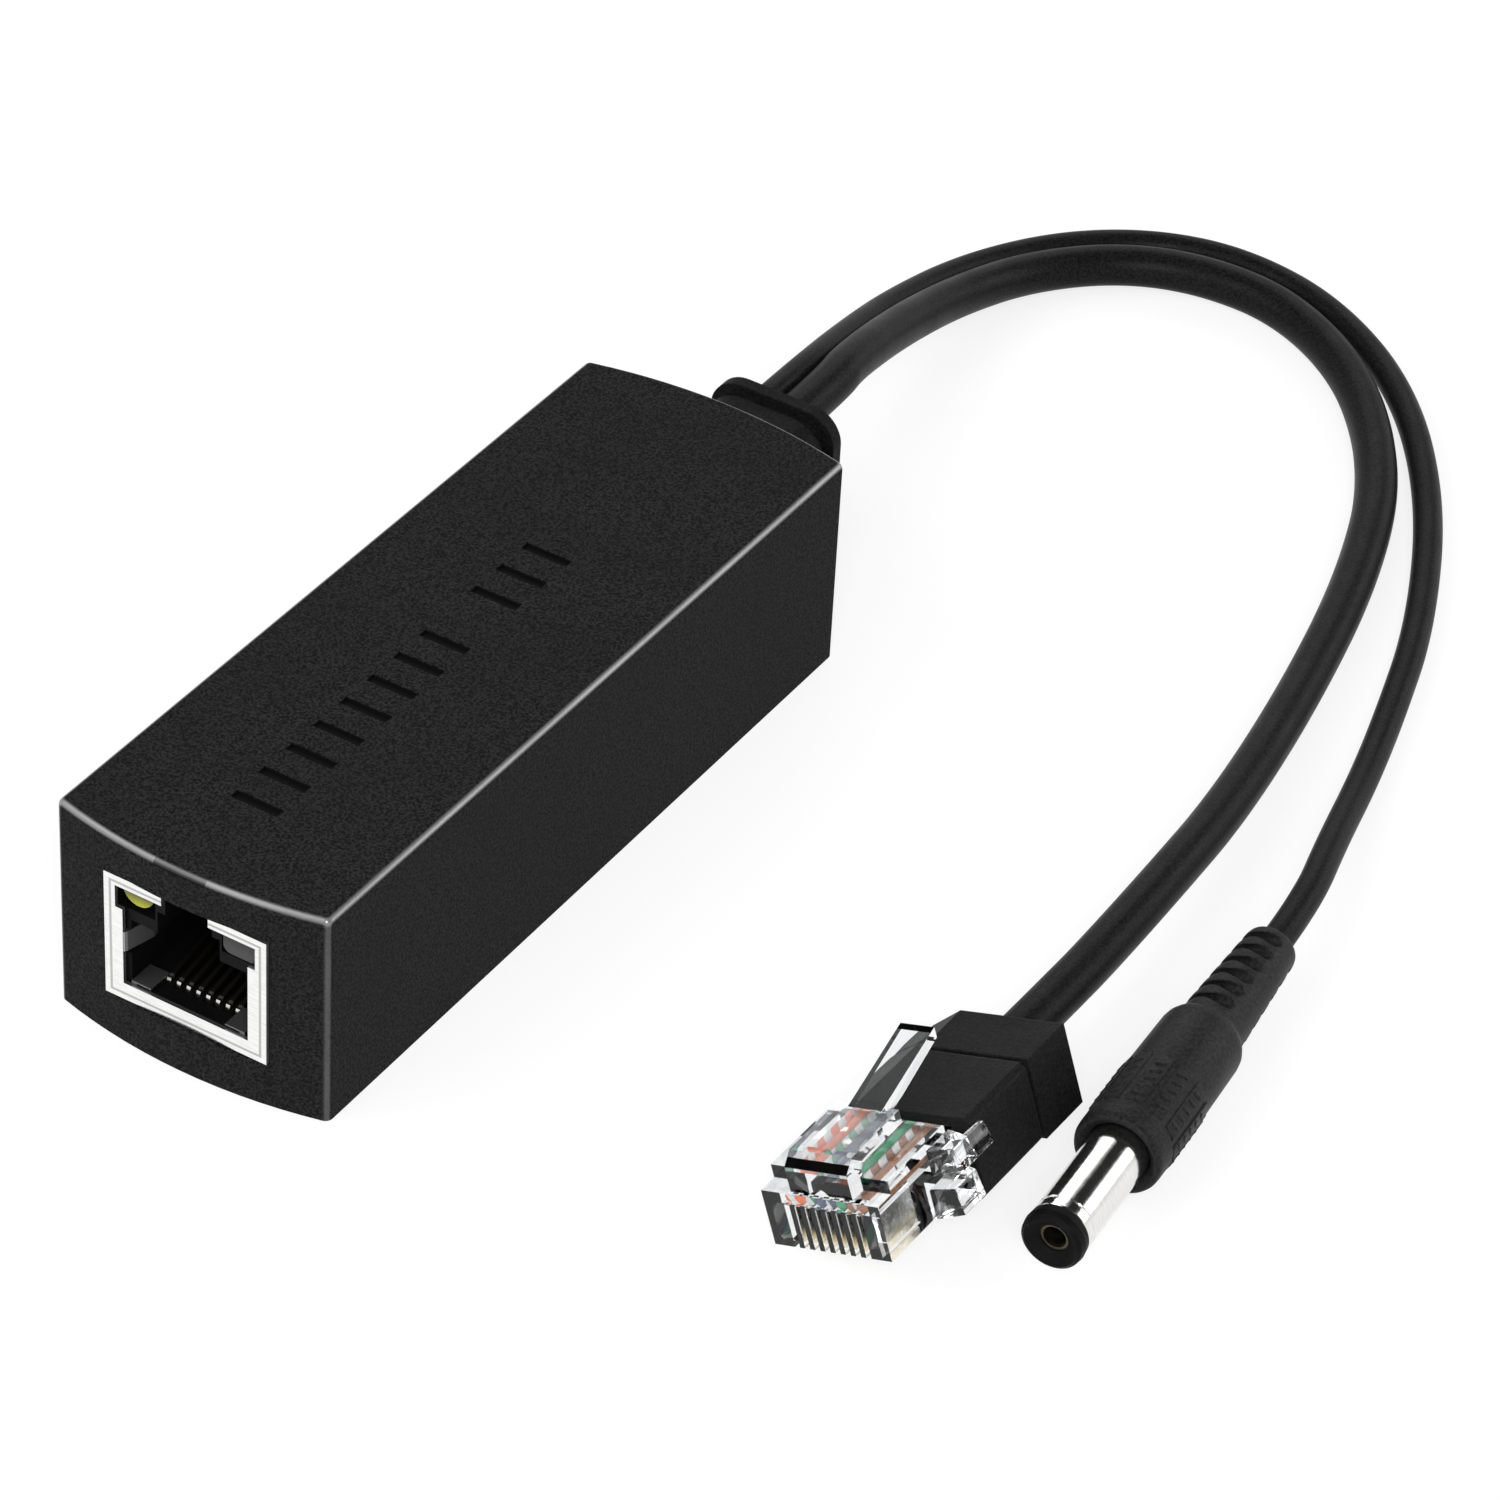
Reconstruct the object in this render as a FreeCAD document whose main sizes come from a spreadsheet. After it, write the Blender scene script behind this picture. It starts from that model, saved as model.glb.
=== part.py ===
import FreeCAD, Part
import math
import os
import re
import Sketcher

# PoE splitter: a moulded housing with an RJ45 socket at the front and, at the back, a grommet
# from which two short leads run: a network lead with an RJ45 plug and a power lead with a
# 5.5 x 2.1 mm barrel plug. X runs across the housing, Y along it (-Y is the socket's face),
# Z up. The origin is the centre of the housing's base. Millimetres.

Vector = FreeCAD.Vector
os.makedirs("parts", exist_ok=True)
doc = FreeCAD.newDocument("poe_splitter")
sheet = doc.addObject("Spreadsheet::Sheet", "Sizes")

SIZES = [
    # housing
    ("housing_width", 28.0),
    ("housing_length", 84.0),
    ("housing_height", 21.8),
    ("end_bow", 1.9),
    ("wall", 1.8),
    ("edge_radius", 0.75),
    ("fit_gap", 0.15),
    ("cover_thickness", 1.8),
    ("mark_depth", 0.3),
    ("mark_width", 1.1),
    ("mark_span", 4.8),
    ("mark_pitch", 3.95),
    ("mark_count", 12),
    ("mark_gap", 3),
    ("mark_rear_y", 12.5),
    ("hook_width", 6.0),
    ("hook_height", 5.2),
    ("hook_thickness", 1.2),
    ("hook_catch", 0.5),
    ("hook_front_y", -26.0),
    ("hook_rear_y", 26.5),
    ("rib_thickness", 1.2),
    ("rib_reach", 2.0),
    ("rib_front_y", -7.0),
    ("rib_rear_y", 14.0),
    ("post_radius", 1.8),
    ("post_inset_x", 2.4),
    ("post_front_y", -35.7),
    ("post_rear_y", 33.4),
    # circuit board
    ("board_width", 21.2),
    ("board_thickness", 1.6),
    ("board_front_y", -38.0),
    ("board_rear_y", 37.0),
    ("board_top", 4.7),
    ("pin_gap", 0.15),
    ("pin_stickout", 0.8),
    # socket
    ("jack_x", 0.3),
    ("jack_front_y", -41.6),
    ("jack_width", 16.7),
    ("jack_height", 13.1),
    ("jack_depth", 21.0),
    ("sheet_metal", 0.3),
    ("jack_frame", 0.4),
    ("mouth_width", 12.9),
    ("mouth_floor", 1.75),
    ("window_width", 14.4),
    ("window_floor", 9.75),
    ("window_top", 12.05),
    ("latch_gap_width", 4.8),
    ("latch_gap_depth", 6.0),
    ("cavity_width", 11.9),
    ("cavity_top", 8.5),
    ("cavity_depth", 13.5),
    ("keyway_width", 6.4),
    ("keyway_top", 10.7),
    ("contact_pitch", 1.02),
    ("contact_count", 8),
    ("contact_width", 0.4),
    ("contact_thickness", 0.3),
    ("contact_front", 2.7),
    ("contact_tail", 17.5),
    ("contact_tip_depth", 11.5),
    ("contact_tip_height", 3.9),
    ("lamp_depth", 5.0),
    ("lens_radius", 1.6),
    ("finger_width", 2.0),
    ("finger_depth", 2.6),
    ("finger_lift", 0.2),
    ("finger_sheet", 0.15),
    # grommet
    ("grommet_z", 10.9),
    ("neck_width", 10.4),
    ("neck_height", 9.4),
    ("neck_radius", 2.5),
    ("grommet_width", 12.4),
    ("grommet_height", 11.4),
    ("grommet_block", 7.6),
    ("grommet_groove", 0.95),
    ("grommet_groove_depth", 0.7),
    ("flange_width", 13.5),
    ("flange_height", 12.5),
    ("flange_thickness", 1.35),
    ("grommet_radius", 3.2),
    ("grommet_inner", 1.2),
    # leads
    ("network_cable_radius", 2.075),
    ("power_cable_radius", 1.425),
    # network plug, in its own frame: X across, Y back along it, Z up towards the latch
    ("plug_width", 11.68),
    ("plug_nose_height", 5.25),
    ("plug_nose_depth", 2.0),
    ("plug_height", 6.5),
    ("plug_neck", 10.6),
    ("plug_neck_height", 5.7),
    ("plug_length", 21.0),
    ("tail_flat", 3.85),
    ("tail_shoulder", 4.25),
    ("latch_width", 6.2),
    ("latch_front", 0.4),
    ("latch_shoulder", 8.9),
    ("latch_low", 7.4),
    ("latch_top", 8.6),
    ("tab_width", 3.4),
    ("tab_end", 17.6),
    ("tab_end_height", 11.2),
    ("tab_thickness", 1.0),
    ("blade_width", 0.36),
    ("blade_slot", 0.5),
    ("blade_length", 5.4),
    ("blade_height", 3.4),
    ("core_radius", 0.45),
    ("core_height", 4.45),
    ("core_start", 1.1),
    ("boot_left", 6.3),
    ("boot_right", 7.6),
    ("boot_low", -1.1),
    ("boot_high", 6.65),
    ("boot_front", 11.6),
    ("boot_seam", 20.9),
    ("boot_rear", 27.0),
    ("seam_width", 0.5),
    ("seam_depth", 0.35),
    ("boot_chamfer", 0.5),
    ("boot_rear_left", 6.1),
    ("boot_flat", 2.8),
    ("boot_bevel", 1.9),
    ("waist_left", 5.97),
    ("waist_flat", 3.2),
    # barrel plug, in its own frame: Y back along it from the tip
    ("barrel_radius", 2.75),
    ("barrel_wall", 0.3),
    ("barrel_start", 1.7),
    ("grip_front", 10.9),
    ("grip_rim", 0.4),
    ("grip_radius", 4.05),
    ("grip_rear_radius", 3.85),
    ("grip_rear", 30.4),
    ("grip_bore_depth", 4.0),
    ("relief_radius", 3.1),
    ("relief_end_radius", 2.4),
    ("relief_end", 45.2),
    ("relief_slots", 6),
    ("relief_slot_pitch", 2.05),
    ("relief_slot_radius", 0.72),
    ("relief_slot_reach", 2.45),
    ("relief_slot_turn", -26.0),
    ("pad_start", 15.2),
    ("pad_length", 6.6),
    ("pad_height", 0.1),
    ("pad_width", 1.5),
    ("pad_count", 12),
    ("pin_bore_radius", 1.05),
    ("pin_sleeve_wall", 0.25),
    ("tip_radius", 2.85),
]
ALIASES = {name: value for name, value in SIZES}


def fill_sheet():
    for row, (name, value) in enumerate(SIZES, 1):
        sheet.set("A%d" % row, name)
        sheet.set("B%d" % row, str(value))
        sheet.setAlias("B%d" % row, name)
    doc.recompute()


def cell(text):
    """An expression over the sheet's aliases, with the sheet's name put before each one."""
    return re.sub(r"[a-z_]+", lambda m: "Sizes." + m[0] if m[0] in ALIASES else m[0], str(text))


def size(name):
    return float(sheet.get(name))


fill_sheet()


# Building blocks

def place(piece, at):
    for axis, text in zip("xyz", at):
        piece.setExpression("Placement.Base." + axis, cell(text))
    return piece


def box(name, lengths, corner):
    """A block from its lowest corner; every entry is an expression over the sheet."""
    piece = doc.addObject("Part::Box", name)
    for prop, text in zip(("Length", "Width", "Height"), lengths):
        piece.setExpression(prop, cell(text))
    return place(piece, corner)


def block(name, lengths, middle):
    """A block centred in X and Y on middle and standing on its Z."""
    corner = ("%s - (%s) / 2" % (middle[0], lengths[0]), "%s - (%s) / 2" % (middle[1], lengths[1]), middle[2])
    return box(name, lengths, corner)


TURN = {
    "z": FreeCAD.Rotation(),
    "y": FreeCAD.Rotation(Vector(1, 0, 0), -90),
    "x": FreeCAD.Rotation(Vector(0, 1, 0), 90),
}


def cylinder(name, radius, length, at, axis="z"):
    piece = doc.addObject("Part::Cylinder", name)
    piece.setExpression("Radius", cell(radius))
    piece.setExpression("Height", cell(length))
    piece.Placement = FreeCAD.Placement(Vector(), TURN[axis])
    return place(piece, at)


def fuse(name, shapes):
    piece = doc.addObject("Part::MultiFuse", name)
    piece.Shapes = shapes
    piece.Refine = True
    return piece


def cut(name, base, tools):
    piece = doc.addObject("Part::Cut", name)
    piece.Base = base
    piece.Tool = tools[0] if len(tools) == 1 else fuse(name + "_tools", tools)
    piece.Refine = True
    return piece


def common(name, shapes):
    piece = doc.addObject("Part::MultiCommon", name)
    piece.Shapes = shapes
    return piece


def group(name, shapes):
    """Several separate solids that share one node."""
    piece = doc.addObject("Part::Compound", name)
    piece.Links = shapes
    return piece


def rounded(name, base, radius, wanted):
    """The base with a fillet of one radius on the edges that wanted(edge) picks."""
    doc.recompute()
    piece = doc.addObject("Part::Fillet", name)
    piece.Base = base
    value = size(radius) if isinstance(radius, str) else radius
    picked = [i for i, edge in enumerate(base.Shape.Edges, 1) if wanted(edge)]
    piece.Edges = [(i, value, value) for i in picked]
    return piece


def chamfered(name, base, width, wanted):
    """The base with a flat of one width on the edges that wanted(edge) picks."""
    doc.recompute()
    piece = doc.addObject("Part::Chamfer", name)
    piece.Base = base
    value = size(width)
    piece.Edges = [(i, value, value) for i, edge in enumerate(base.Shape.Edges, 1) if wanted(edge)]
    return piece


def along(axis):
    """Picks the straight edges that run along one axis."""
    def wanted(edge):
        if edge.Curve.TypeId != "Part::GeomLine":
            return False
        return abs(abs(edge.Curve.Direction.dot(axis)) - 1) < 1e-6
    return wanted


def rounded_block(name, lengths, middle, radius):
    """A block along Y, centred on middle in X and Z, with its long edges rounded."""
    corner = ("%s - (%s) / 2" % (middle[0], lengths[0]), middle[1], "%s - (%s) / 2" % (middle[2], lengths[2]))
    return rounded(name, box(name + "_block", lengths, corner), radius, along(Vector(0, 1, 0)))


def new_body(name):
    return doc.addObject("PartDesign::Body", name)


def sketch(body, name, plane, points, offset="0"):
    """A closed polygon whose corners are bound to the sheet, on one of the body's planes."""
    drawing = body.newObject("Sketcher::SketchObject", name)
    origin_plane = [f for f in body.Origin.OriginFeatures if f.Role == plane][0]
    drawing.AttachmentSupport = [(origin_plane, "")]
    drawing.MapMode = "FlatFace"
    drawing.setExpression("AttachmentOffset.Base.z", cell(offset))
    corners = [Vector(value_of(a), value_of(b), 0) for a, b in points]
    count = len(corners)
    for i in range(count):
        drawing.addGeometry(Part.LineSegment(corners[i], corners[(i + 1) % count]), False)
    for i in range(count):
        drawing.addConstraint(Sketcher.Constraint("Coincident", i, 2, (i + 1) % count, 1))
    for i, (a, b) in enumerate(points):
        for kind, text, value in (("DistanceX", a, corners[i].x), ("DistanceY", b, corners[i].y)):
            index = drawing.addConstraint(Sketcher.Constraint(kind, -1, 1, i, 1, value))
            drawing.setExpression("Constraints[%d]" % index, cell(text))
    return drawing


def value_of(text):
    """The number that an expression over the sheet has now."""
    sheet.set("D1", "=" + re.sub(r"\bSizes\.", "", cell(text)))
    sheet.recompute()
    return float(sheet.get("D1"))


def revolved(name, points):
    """A body turned about its Y axis from (radius, y) corners."""
    body = new_body(name)
    drawing = sketch(body, name + "_profile", "XY_Plane", points)
    turned = body.newObject("PartDesign::Revolution", name + "_turned")
    turned.Profile = drawing
    turned.ReferenceAxis = (drawing, ["V_Axis"])
    turned.Angle = 360
    return body


def padded(name, plane, points, length, offset="0", symmetric=False):
    """A body pushed out of a polygon along the normal of its plane."""
    body = new_body(name)
    drawing = sketch(body, name + "_profile", plane, points, offset)
    pad = body.newObject("PartDesign::Pad", name + "_pad")
    pad.Profile = drawing
    pad.setExpression("Length", cell(length))
    if symmetric:
        pad.Midplane = True
    return body


def feature(name, shape, placement=None):
    piece = doc.addObject("Part::Feature", name)
    piece.Shape = shape
    if placement:
        piece.Placement = placement
    return piece


def ribbon(points, thickness, width, x):
    """A flat strip of metal bent along (y, z) points, centred on x."""
    middle = [Vector(0, y, z) for y, z in points]
    left, right = [], []
    for i, point in enumerate(middle):
        before = (point - middle[max(i - 1, 0)]) if i else (middle[1] - point)
        after = (middle[i + 1] - point) if i + 1 < len(middle) else before
        before.normalize()
        after.normalize()
        normal = Vector(0, -before.z - after.z, before.y + after.y)
        normal.normalize()
        stretch = thickness / 2 / normal.dot(Vector(0, -after.z, after.y))
        left.append(point + normal * stretch)
        right.append(point - normal * stretch)
    outline = left + right[::-1] + left[:1]
    face = Part.Face(Part.makePolygon(outline))
    solid = face.extrude(Vector(width, 0, 0))
    solid.translate(Vector(x - width / 2, 0, 0))
    return solid


def tube(points, radius, report=None):
    """A round tube along straight runs joined by tangent arcs.

    Each arc's radius is 0.45 of the shorter run beside it, divided by the tangent of half the turn.
    """
    edges, radii = [], []
    start = points[0]
    for before, corner, after in zip(points, points[1:], points[2:]):
        back, ahead = before - corner, after - corner
        reach = 0.45 * min(back.Length, ahead.Length)
        back.normalize()
        ahead.normalize()
        half_turn = (math.pi - back.getAngle(ahead)) / 2
        bend = reach / math.tan(half_turn)
        radii.append(bend)
        inward = (back + ahead).normalize()
        centre = corner + inward * (bend / math.cos(half_turn))
        first, last = corner + back * reach, corner + ahead * reach
        edges.append(Part.LineSegment(start, first).toShape())
        edges.append(Part.Arc(first, centre - inward * bend, last).toShape())
        start = last
    edges.append(Part.LineSegment(start, points[-1]).toShape())
    path = Part.Wire(edges)
    ring = Part.Wire(Part.makeCircle(radius, points[0], points[1] - points[0]))
    solid = path.makePipeShell([ring], True, False)
    if report:
        expected = math.pi * radius ** 2 * path.Length
        print(report, "length %.1f, volume / (section x length) %.4f" % (path.Length, solid.Volume / expected))
        print("  arc radii", " ".join("%.1f" % value for value in radii))
    return solid


def thin_wire(points, radius):
    """An eight-sided wire along straight runs with mitred corners."""
    forward = (points[1] - points[0]).normalize()
    side = forward.cross(Vector(0, 0, 1)).normalize()
    turn = FreeCAD.Rotation(forward, 45)
    corner = FreeCAD.Rotation(forward, 22.5).multVec(side) * (radius / math.cos(math.pi / 8))
    corners = []
    for _ in range(8):
        corners.append(points[0] + corner)
        corner = turn.multVec(corner)
    ring = Part.makePolygon(corners + corners[:1])
    return Part.makePolygon(points).makePipeShell([ring], True, False, 1)


# Frames of the two plugs where they lie on the table

PLUG_FRAME = FreeCAD.Placement(
    Vector(58.95, -32.52, 3.35),
    FreeCAD.Rotation(Vector(0, 0, 1), -0.74)
    * FreeCAD.Rotation(Vector(1, 0, 0), -0.8)
    * FreeCAD.Rotation(Vector(0, 1, 0), -19.5),
)
BARREL_FRAME = FreeCAD.Placement(Vector(73.37, -22.32, 4.4), FreeCAD.Rotation(Vector(0, 0, 1), 4.35))


# Housing

def bowed_block(name, inset, height, base):
    """The housing's outline, drawn in by inset: straight sides and two bowed ends."""
    bow_radius = "(housing_width * housing_width / (8 * end_bow) + end_bow / 2)"
    centre = "(housing_length / 2 - %s)" % bow_radius
    sides = block(
        name + "_sides",
        ("housing_width - 2 * (%s)" % inset, "housing_length - 2 * (%s)" % inset, height),
        ("0", "0", base),
    )
    radius = "%s - (%s)" % (bow_radius, inset)
    rear = cylinder(name + "_rear", radius, height, ("0", centre, base))
    front = cylinder(name + "_front", radius, height, ("0", "-" + centre, base))
    return common(name, [sides, rear, front])


def make_top_shell():
    outer = bowed_block("shell_outer", "0", "housing_height", "0")
    height = size("housing_height")

    def wanted(edge):
        upright = along(Vector(0, 0, 1))(edge)
        return upright or all(abs(v.Point.z - height) < 1e-6 for v in edge.Vertexes)

    outer = rounded("shell_rounded", outer, "edge_radius", wanted)
    inner = bowed_block("shell_inner", "wall", "housing_height - wall + 1", "-1")
    shell = cut("shell_hollow", outer, [inner])
    ribs = []
    for side in (-1, 1):
        for station in ("rib_front_y", "rib_rear_y"):
            ribs.append(block(
                "rib",
                ("rib_reach + 0.2", "rib_thickness", "housing_height - wall / 2 - board_top - pin_gap"),
                ("%d * (housing_width / 2 - wall - rib_reach / 2 + 0.1)" % side, station, "board_top + pin_gap"),
            ))
    shell = fuse("shell_ribbed", [shell] + ribs)
    tools = [socket_window(), grommet_slot()] + engraved_bars() + hook_pockets()
    return cut("top_shell", shell, tools)


def socket_window():
    gap = "2 * fit_gap"
    return block(
        "socket_window",
        ("jack_width + " + gap, "2 * wall + 4 * end_bow", "jack_height + " + gap),
        ("jack_x", "-housing_length / 2", "board_top - fit_gap"),
    )


def grommet_slot():
    """Open to the base, so that the grommet drops in before the cover closes it."""
    reach = "2 * wall + 2 * end_bow"
    start = "housing_length / 2 - wall - end_bow"
    top = rounded_block(
        "slot_top",
        ("neck_width + 2 * fit_gap", reach, "neck_height + 2 * fit_gap"),
        ("0", start, "grommet_z"),
        "neck_radius",
    )
    mouth = box(
        "slot_mouth",
        ("neck_width + 2 * fit_gap", reach, "grommet_z + 1"),
        ("-neck_width / 2 - fit_gap", start, "-1"),
    )
    return fuse("grommet_slot", [top, mouth])


def engraved_bars():
    """Two plain rows of short bars down the middle of the top face, with a gap between them."""
    bars = []
    for i in range(int(size("mark_count"))):
        if i == int(size("mark_gap")):
            continue
        bars.append(block(
            "bar",
            ("mark_span", "mark_width", "2 * mark_depth"),
            ("0", "mark_rear_y - %d * mark_pitch" % i, "housing_height - mark_depth"),
        ))
    return bars


def hook_pockets():
    """Recesses inside the long walls, which the cover's hooks snap into."""
    pockets = []
    for side in (-1, 1):
        for station in ("hook_front_y", "hook_rear_y"):
            pockets.append(block(
                "pocket",
                ("2 * (hook_catch + fit_gap)", "hook_width + 2 * fit_gap", "hook_height / 3 + 2 * fit_gap"),
                (
                    "%d * (housing_width / 2 - wall)" % side,
                    station,
                    "cover_thickness + hook_height / 2 - fit_gap",
                ),
            ))
    return pockets


def make_bottom_cover():
    plate = bowed_block("cover_plate", "wall + fit_gap", "cover_thickness", "0")
    rear_wall = cut(
        "cover_wall",
        bowed_block("wall_outer", "0", "grommet_z - neck_height / 2 - fit_gap", "0"),
        [bowed_block("wall_inner", "wall", "housing_height", "-1")],
    )
    tongue = common("cover_tongue", [
        rear_wall,
        box(
            "tongue_window",
            ("neck_width", "2 * wall + 2 * end_bow", "housing_height"),
            ("-neck_width / 2", "housing_length / 2 - wall - end_bow", "0"),
        ),
    ])
    # the tongue's foot carries it on the plate across the gap round the plate
    foot = box(
        "tongue_foot",
        ("neck_width", "wall", "cover_thickness"),
        ("-neck_width / 2", "housing_length / 2 - 1.6 * wall", "0"),
    )
    pieces = [plate, tongue, foot]
    inner = "(housing_width / 2 - wall - fit_gap)"
    for side in (-1, 1):
        for station in ("hook_front_y", "hook_rear_y"):
            pieces.append(block(
                "hook",
                ("hook_thickness", "hook_width", "hook_height"),
                ("%d * (%s - hook_thickness / 2)" % (side, inner), station, "cover_thickness - 0.1"),
            ))
            pieces.append(block(
                "catch",
                ("2 * hook_catch", "hook_width", "hook_height / 3"),
                ("%d * %s" % (side, inner), station, "cover_thickness + hook_height / 2"),
            ))
        for station in ("post_front_y", "post_rear_y"):
            pieces.append(cylinder(
                "post",
                "post_radius",
                "board_top - board_thickness",
                ("%d * (board_width / 2 - post_inset_x)" % side, station, "0"),
            ))
    return fuse("bottom_cover", pieces)


# Circuit board and what it carries

BOARD_HOLES = []


def board_pin(name, width, x, y, top):
    """A square lead through the board; the board gets a clearance hole for it."""
    BOARD_HOLES.append((width, x, y))
    low = "board_top - board_thickness - pin_stickout"
    return block(name, (width, width, "%s - (%s)" % (top, low)), (x, y, low))


def make_circuit_board():
    board = block(
        "board_blank",
        ("board_width", "board_rear_y - board_front_y", "board_thickness"),
        ("0", "(board_rear_y + board_front_y) / 2", "board_top - board_thickness"),
    )
    holes = [
        block(
            "board_hole",
            ("%s + 2 * pin_gap" % width, "%s + 2 * pin_gap" % width, "board_thickness + 2"),
            (x, y, "board_top - board_thickness - 1"),
        )
        for width, x, y in BOARD_HOLES
    ]
    return cut("circuit_board", board, [group("board_holes", holes)])


def package(name, lengths, middle, rows, pitch, foot=1.1, turned=False):
    """A moulded chip with a row of gull-wing legs on each of its two sides."""
    lift = 0.2
    body = block(name + "_case", lengths, (middle[0], middle[1], "board_top + %s" % lift))
    pieces = [rounded(name + "_moulding", body, 0.25, along(Vector(0, 0, 1)))]
    for side in (-1, 1):
        for i in range(rows):
            shift = (i - (rows - 1) / 2) * pitch
            sill, knee = lift + 0.5, 0.45
            reach = lengths[0 if turned else 1] / 2
            spread = side * (reach + knee / 2 - 0.1)
            toe = side * (reach + foot / 2)
            legs = ((spread, knee + 0.2, sill, 0.2), (toe + side * 0.2, foot - 0.4, 0.0, 0.2),
                    (side * (reach + knee), 0.2, 0.0, sill + 0.2))
            for offset, length, low, high in legs:
                spans = (length, 0.4) if turned else (0.4, length)
                shifts = (offset, shift) if turned else (shift, offset)
                pieces.append(block(
                    name + "_leg",
                    (spans[0], spans[1], high),
                    (middle[0] + shifts[0], middle[1] + shifts[1], "board_top + %s" % low),
                ))
    return fuse(name, pieces)


def capacitor(name, radius, height, x, y):
    """A radial electrolytic can with a rolled-in neck near its base and two leads."""
    lift = 0.3
    neck_low, neck_high = lift + 1.3, lift + 2.1
    pieces = [
        cylinder(name + "_foot", radius, neck_low - lift, (x, y, "board_top + %s" % lift)),
        cylinder(name + "_neck", radius - 0.35, 1.2, (x, y, "board_top + %s" % (neck_low - 0.2))),
        cylinder(name + "_can", radius, lift + height - neck_high, (x, y, "board_top + %s" % neck_high)),
    ]
    for shift in (-1.75, 1.75):
        pieces.append(board_pin(name + "_lead", 0.55, x + shift, y, "board_top + %s" % (lift + 0.4)))
    return fuse(name, pieces)


def make_transformer(x, y):
    """The isolating transformer: two ferrite halves round a wound bobbin on a pin rail."""
    width, depth, height, lift = 13.0, 11.0, 11.5, 1.6
    base = "board_top + %s" % lift
    leg = 2.4
    ring = cut(
        "core_ring",
        block("core_block", (width, depth - 4.0, height - lift), (x, y, base)),
        [block("core_window", (width - 2 * leg, depth, height - lift - 2 * leg), (x, y, "board_top + %s" % (lift + leg)))],
    )
    post = cylinder("core_post", 2.0, height - lift - leg, (x, y, "board_top + %s" % (lift + leg / 2)))
    core = fuse("transformer_core", [ring, post])
    gap = 0.1
    coil_height = height - lift - 2 * leg - 2 * gap
    coil_base = "board_top + %s" % (lift + leg + gap)
    bore = cylinder("coil_bore", 2.0 + gap, coil_height + 1, (x, y, coil_base))
    spool = cylinder("coil_round", (width - 2 * leg - 2 * gap) / 2, coil_height, (x, y, coil_base))
    coil = cut("transformer_winding", spool, [bore])
    rail = block("rail_block", (width, depth, lift - 0.1), (x, y, "board_top"))
    pins = []
    for side in (-1, 1):
        for i in range(4):
            pins.append(board_pin("rail_pin", 0.64, x + (i - 1.5) * 3.0, y + side * 4.6, "board_top + 1.0"))
    return core, coil, fuse("transformer_base", [rail] + pins)


def make_chip_parts():
    """Small resistors and ceramic capacitors, each a separate solid."""
    spots = [(side * 8.9, 6.5 + 2.4 * i) for side in (-1, 1) for i in range(5)] + [(0.2, 1.2), (0.2, 3.4)]
    return group("chip_parts", [
        block("chip", (1.0, 1.7, 0.6), (x, y, "board_top")) for x, y in spots
    ])


# Socket

def jack_at(x, depth, height):
    """A place in the socket's own terms: across, back from its face and up from the board."""
    return ("jack_x + %s" % x, "jack_front_y + %s" % depth, "board_top + %s" % height)


def make_jack_shield():
    """One folded tinned sheet: five sides, with a frame round the mouth and two side springs."""
    outside = box("shield_outside", ("jack_width", "jack_depth", "jack_height"), jack_at("-jack_width / 2", "0", "0"))
    inside = box(
        "shield_inside",
        ("jack_width - 2 * sheet_metal", "jack_depth - jack_frame - sheet_metal", "jack_height - sheet_metal + 1"),
        jack_at("-jack_width / 2 + sheet_metal", "jack_frame", "-1"),
    )
    through = "2 * jack_frame"
    mouth = box(
        "shield_mouth",
        ("mouth_width", through, "window_floor - mouth_floor + 0.1"),
        jack_at("-mouth_width / 2", "-jack_frame / 2", "mouth_floor"),
    )
    window = box(
        "shield_window",
        ("window_width", through, "window_top - window_floor"),
        jack_at("-window_width / 2", "-jack_frame / 2", "window_floor"),
    )
    notch = box(
        "shield_notch",
        ("latch_gap_width", "latch_gap_depth", "jack_height"),
        jack_at("-latch_gap_width / 2", "-1", "window_floor"),
    )
    shell = cut("shield_folded", outside, [inside, mouth, window, notch])
    pieces = [shell]
    for side in (-1, 1):
        spring = padded(
            "side_spring",
            "XY_Plane",
            [
                jack_plan(side, "mouth_width / 2", "0.1"),
                jack_plan(side, "mouth_width / 2 + 0.6", "0.1"),
                jack_plan(side, "mouth_width / 2 + 0.6", "jack_frame"),
                jack_plan(side, "mouth_width / 2 + 0.1", "jack_frame + 0.3"),
                jack_plan(side, "mouth_width / 2 - 0.6", "3.2"),
                jack_plan(side, "mouth_width / 2 - 0.1", "6.5"),
                jack_plan(side, "mouth_width / 2 - 0.4", "6.5"),
                jack_plan(side, "mouth_width / 2 - 0.9", "3.2"),
                jack_plan(side, "mouth_width / 2 - 0.2", "jack_frame"),
            ],
            "2.1",
            offset="board_top + 5.1",
        )
        pieces.append(spring)
        pieces.append(board_pin(
            "shield_leg",
            0.9,
            "jack_x + %d * (jack_width / 2 - 0.45)" % side,
            "jack_front_y + 9.0",
            "board_top + 1.0",
        ))
        pieces += floor_finger(side)
    return fuse("jack_shield", pieces)


def floor_finger(side):
    """A leaf just above the mouth's floor near one corner, on a riser folded up behind the frame."""
    inner = "(cavity_width / 2 - 0.1 - finger_width)"
    top = "mouth_floor + finger_lift + finger_sheet"
    low = "-(%s + finger_width)" % inner if side < 0 else inner
    outer = "-(%s + finger_width)" % inner if side < 0 else "(%s + finger_width - 0.5)" % inner
    leaf = box(
        "floor_leaf",
        ("finger_width", "finger_depth", "finger_sheet"),
        jack_at(low, "jack_frame - 0.05", "mouth_floor + finger_lift"),
    )
    riser = box(
        "floor_riser",
        ("0.5", "finger_sheet", top + " - 0.6"),
        jack_at(outer, "jack_frame - 0.05", "0.6"),
    )
    return [leaf, riser]


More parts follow.
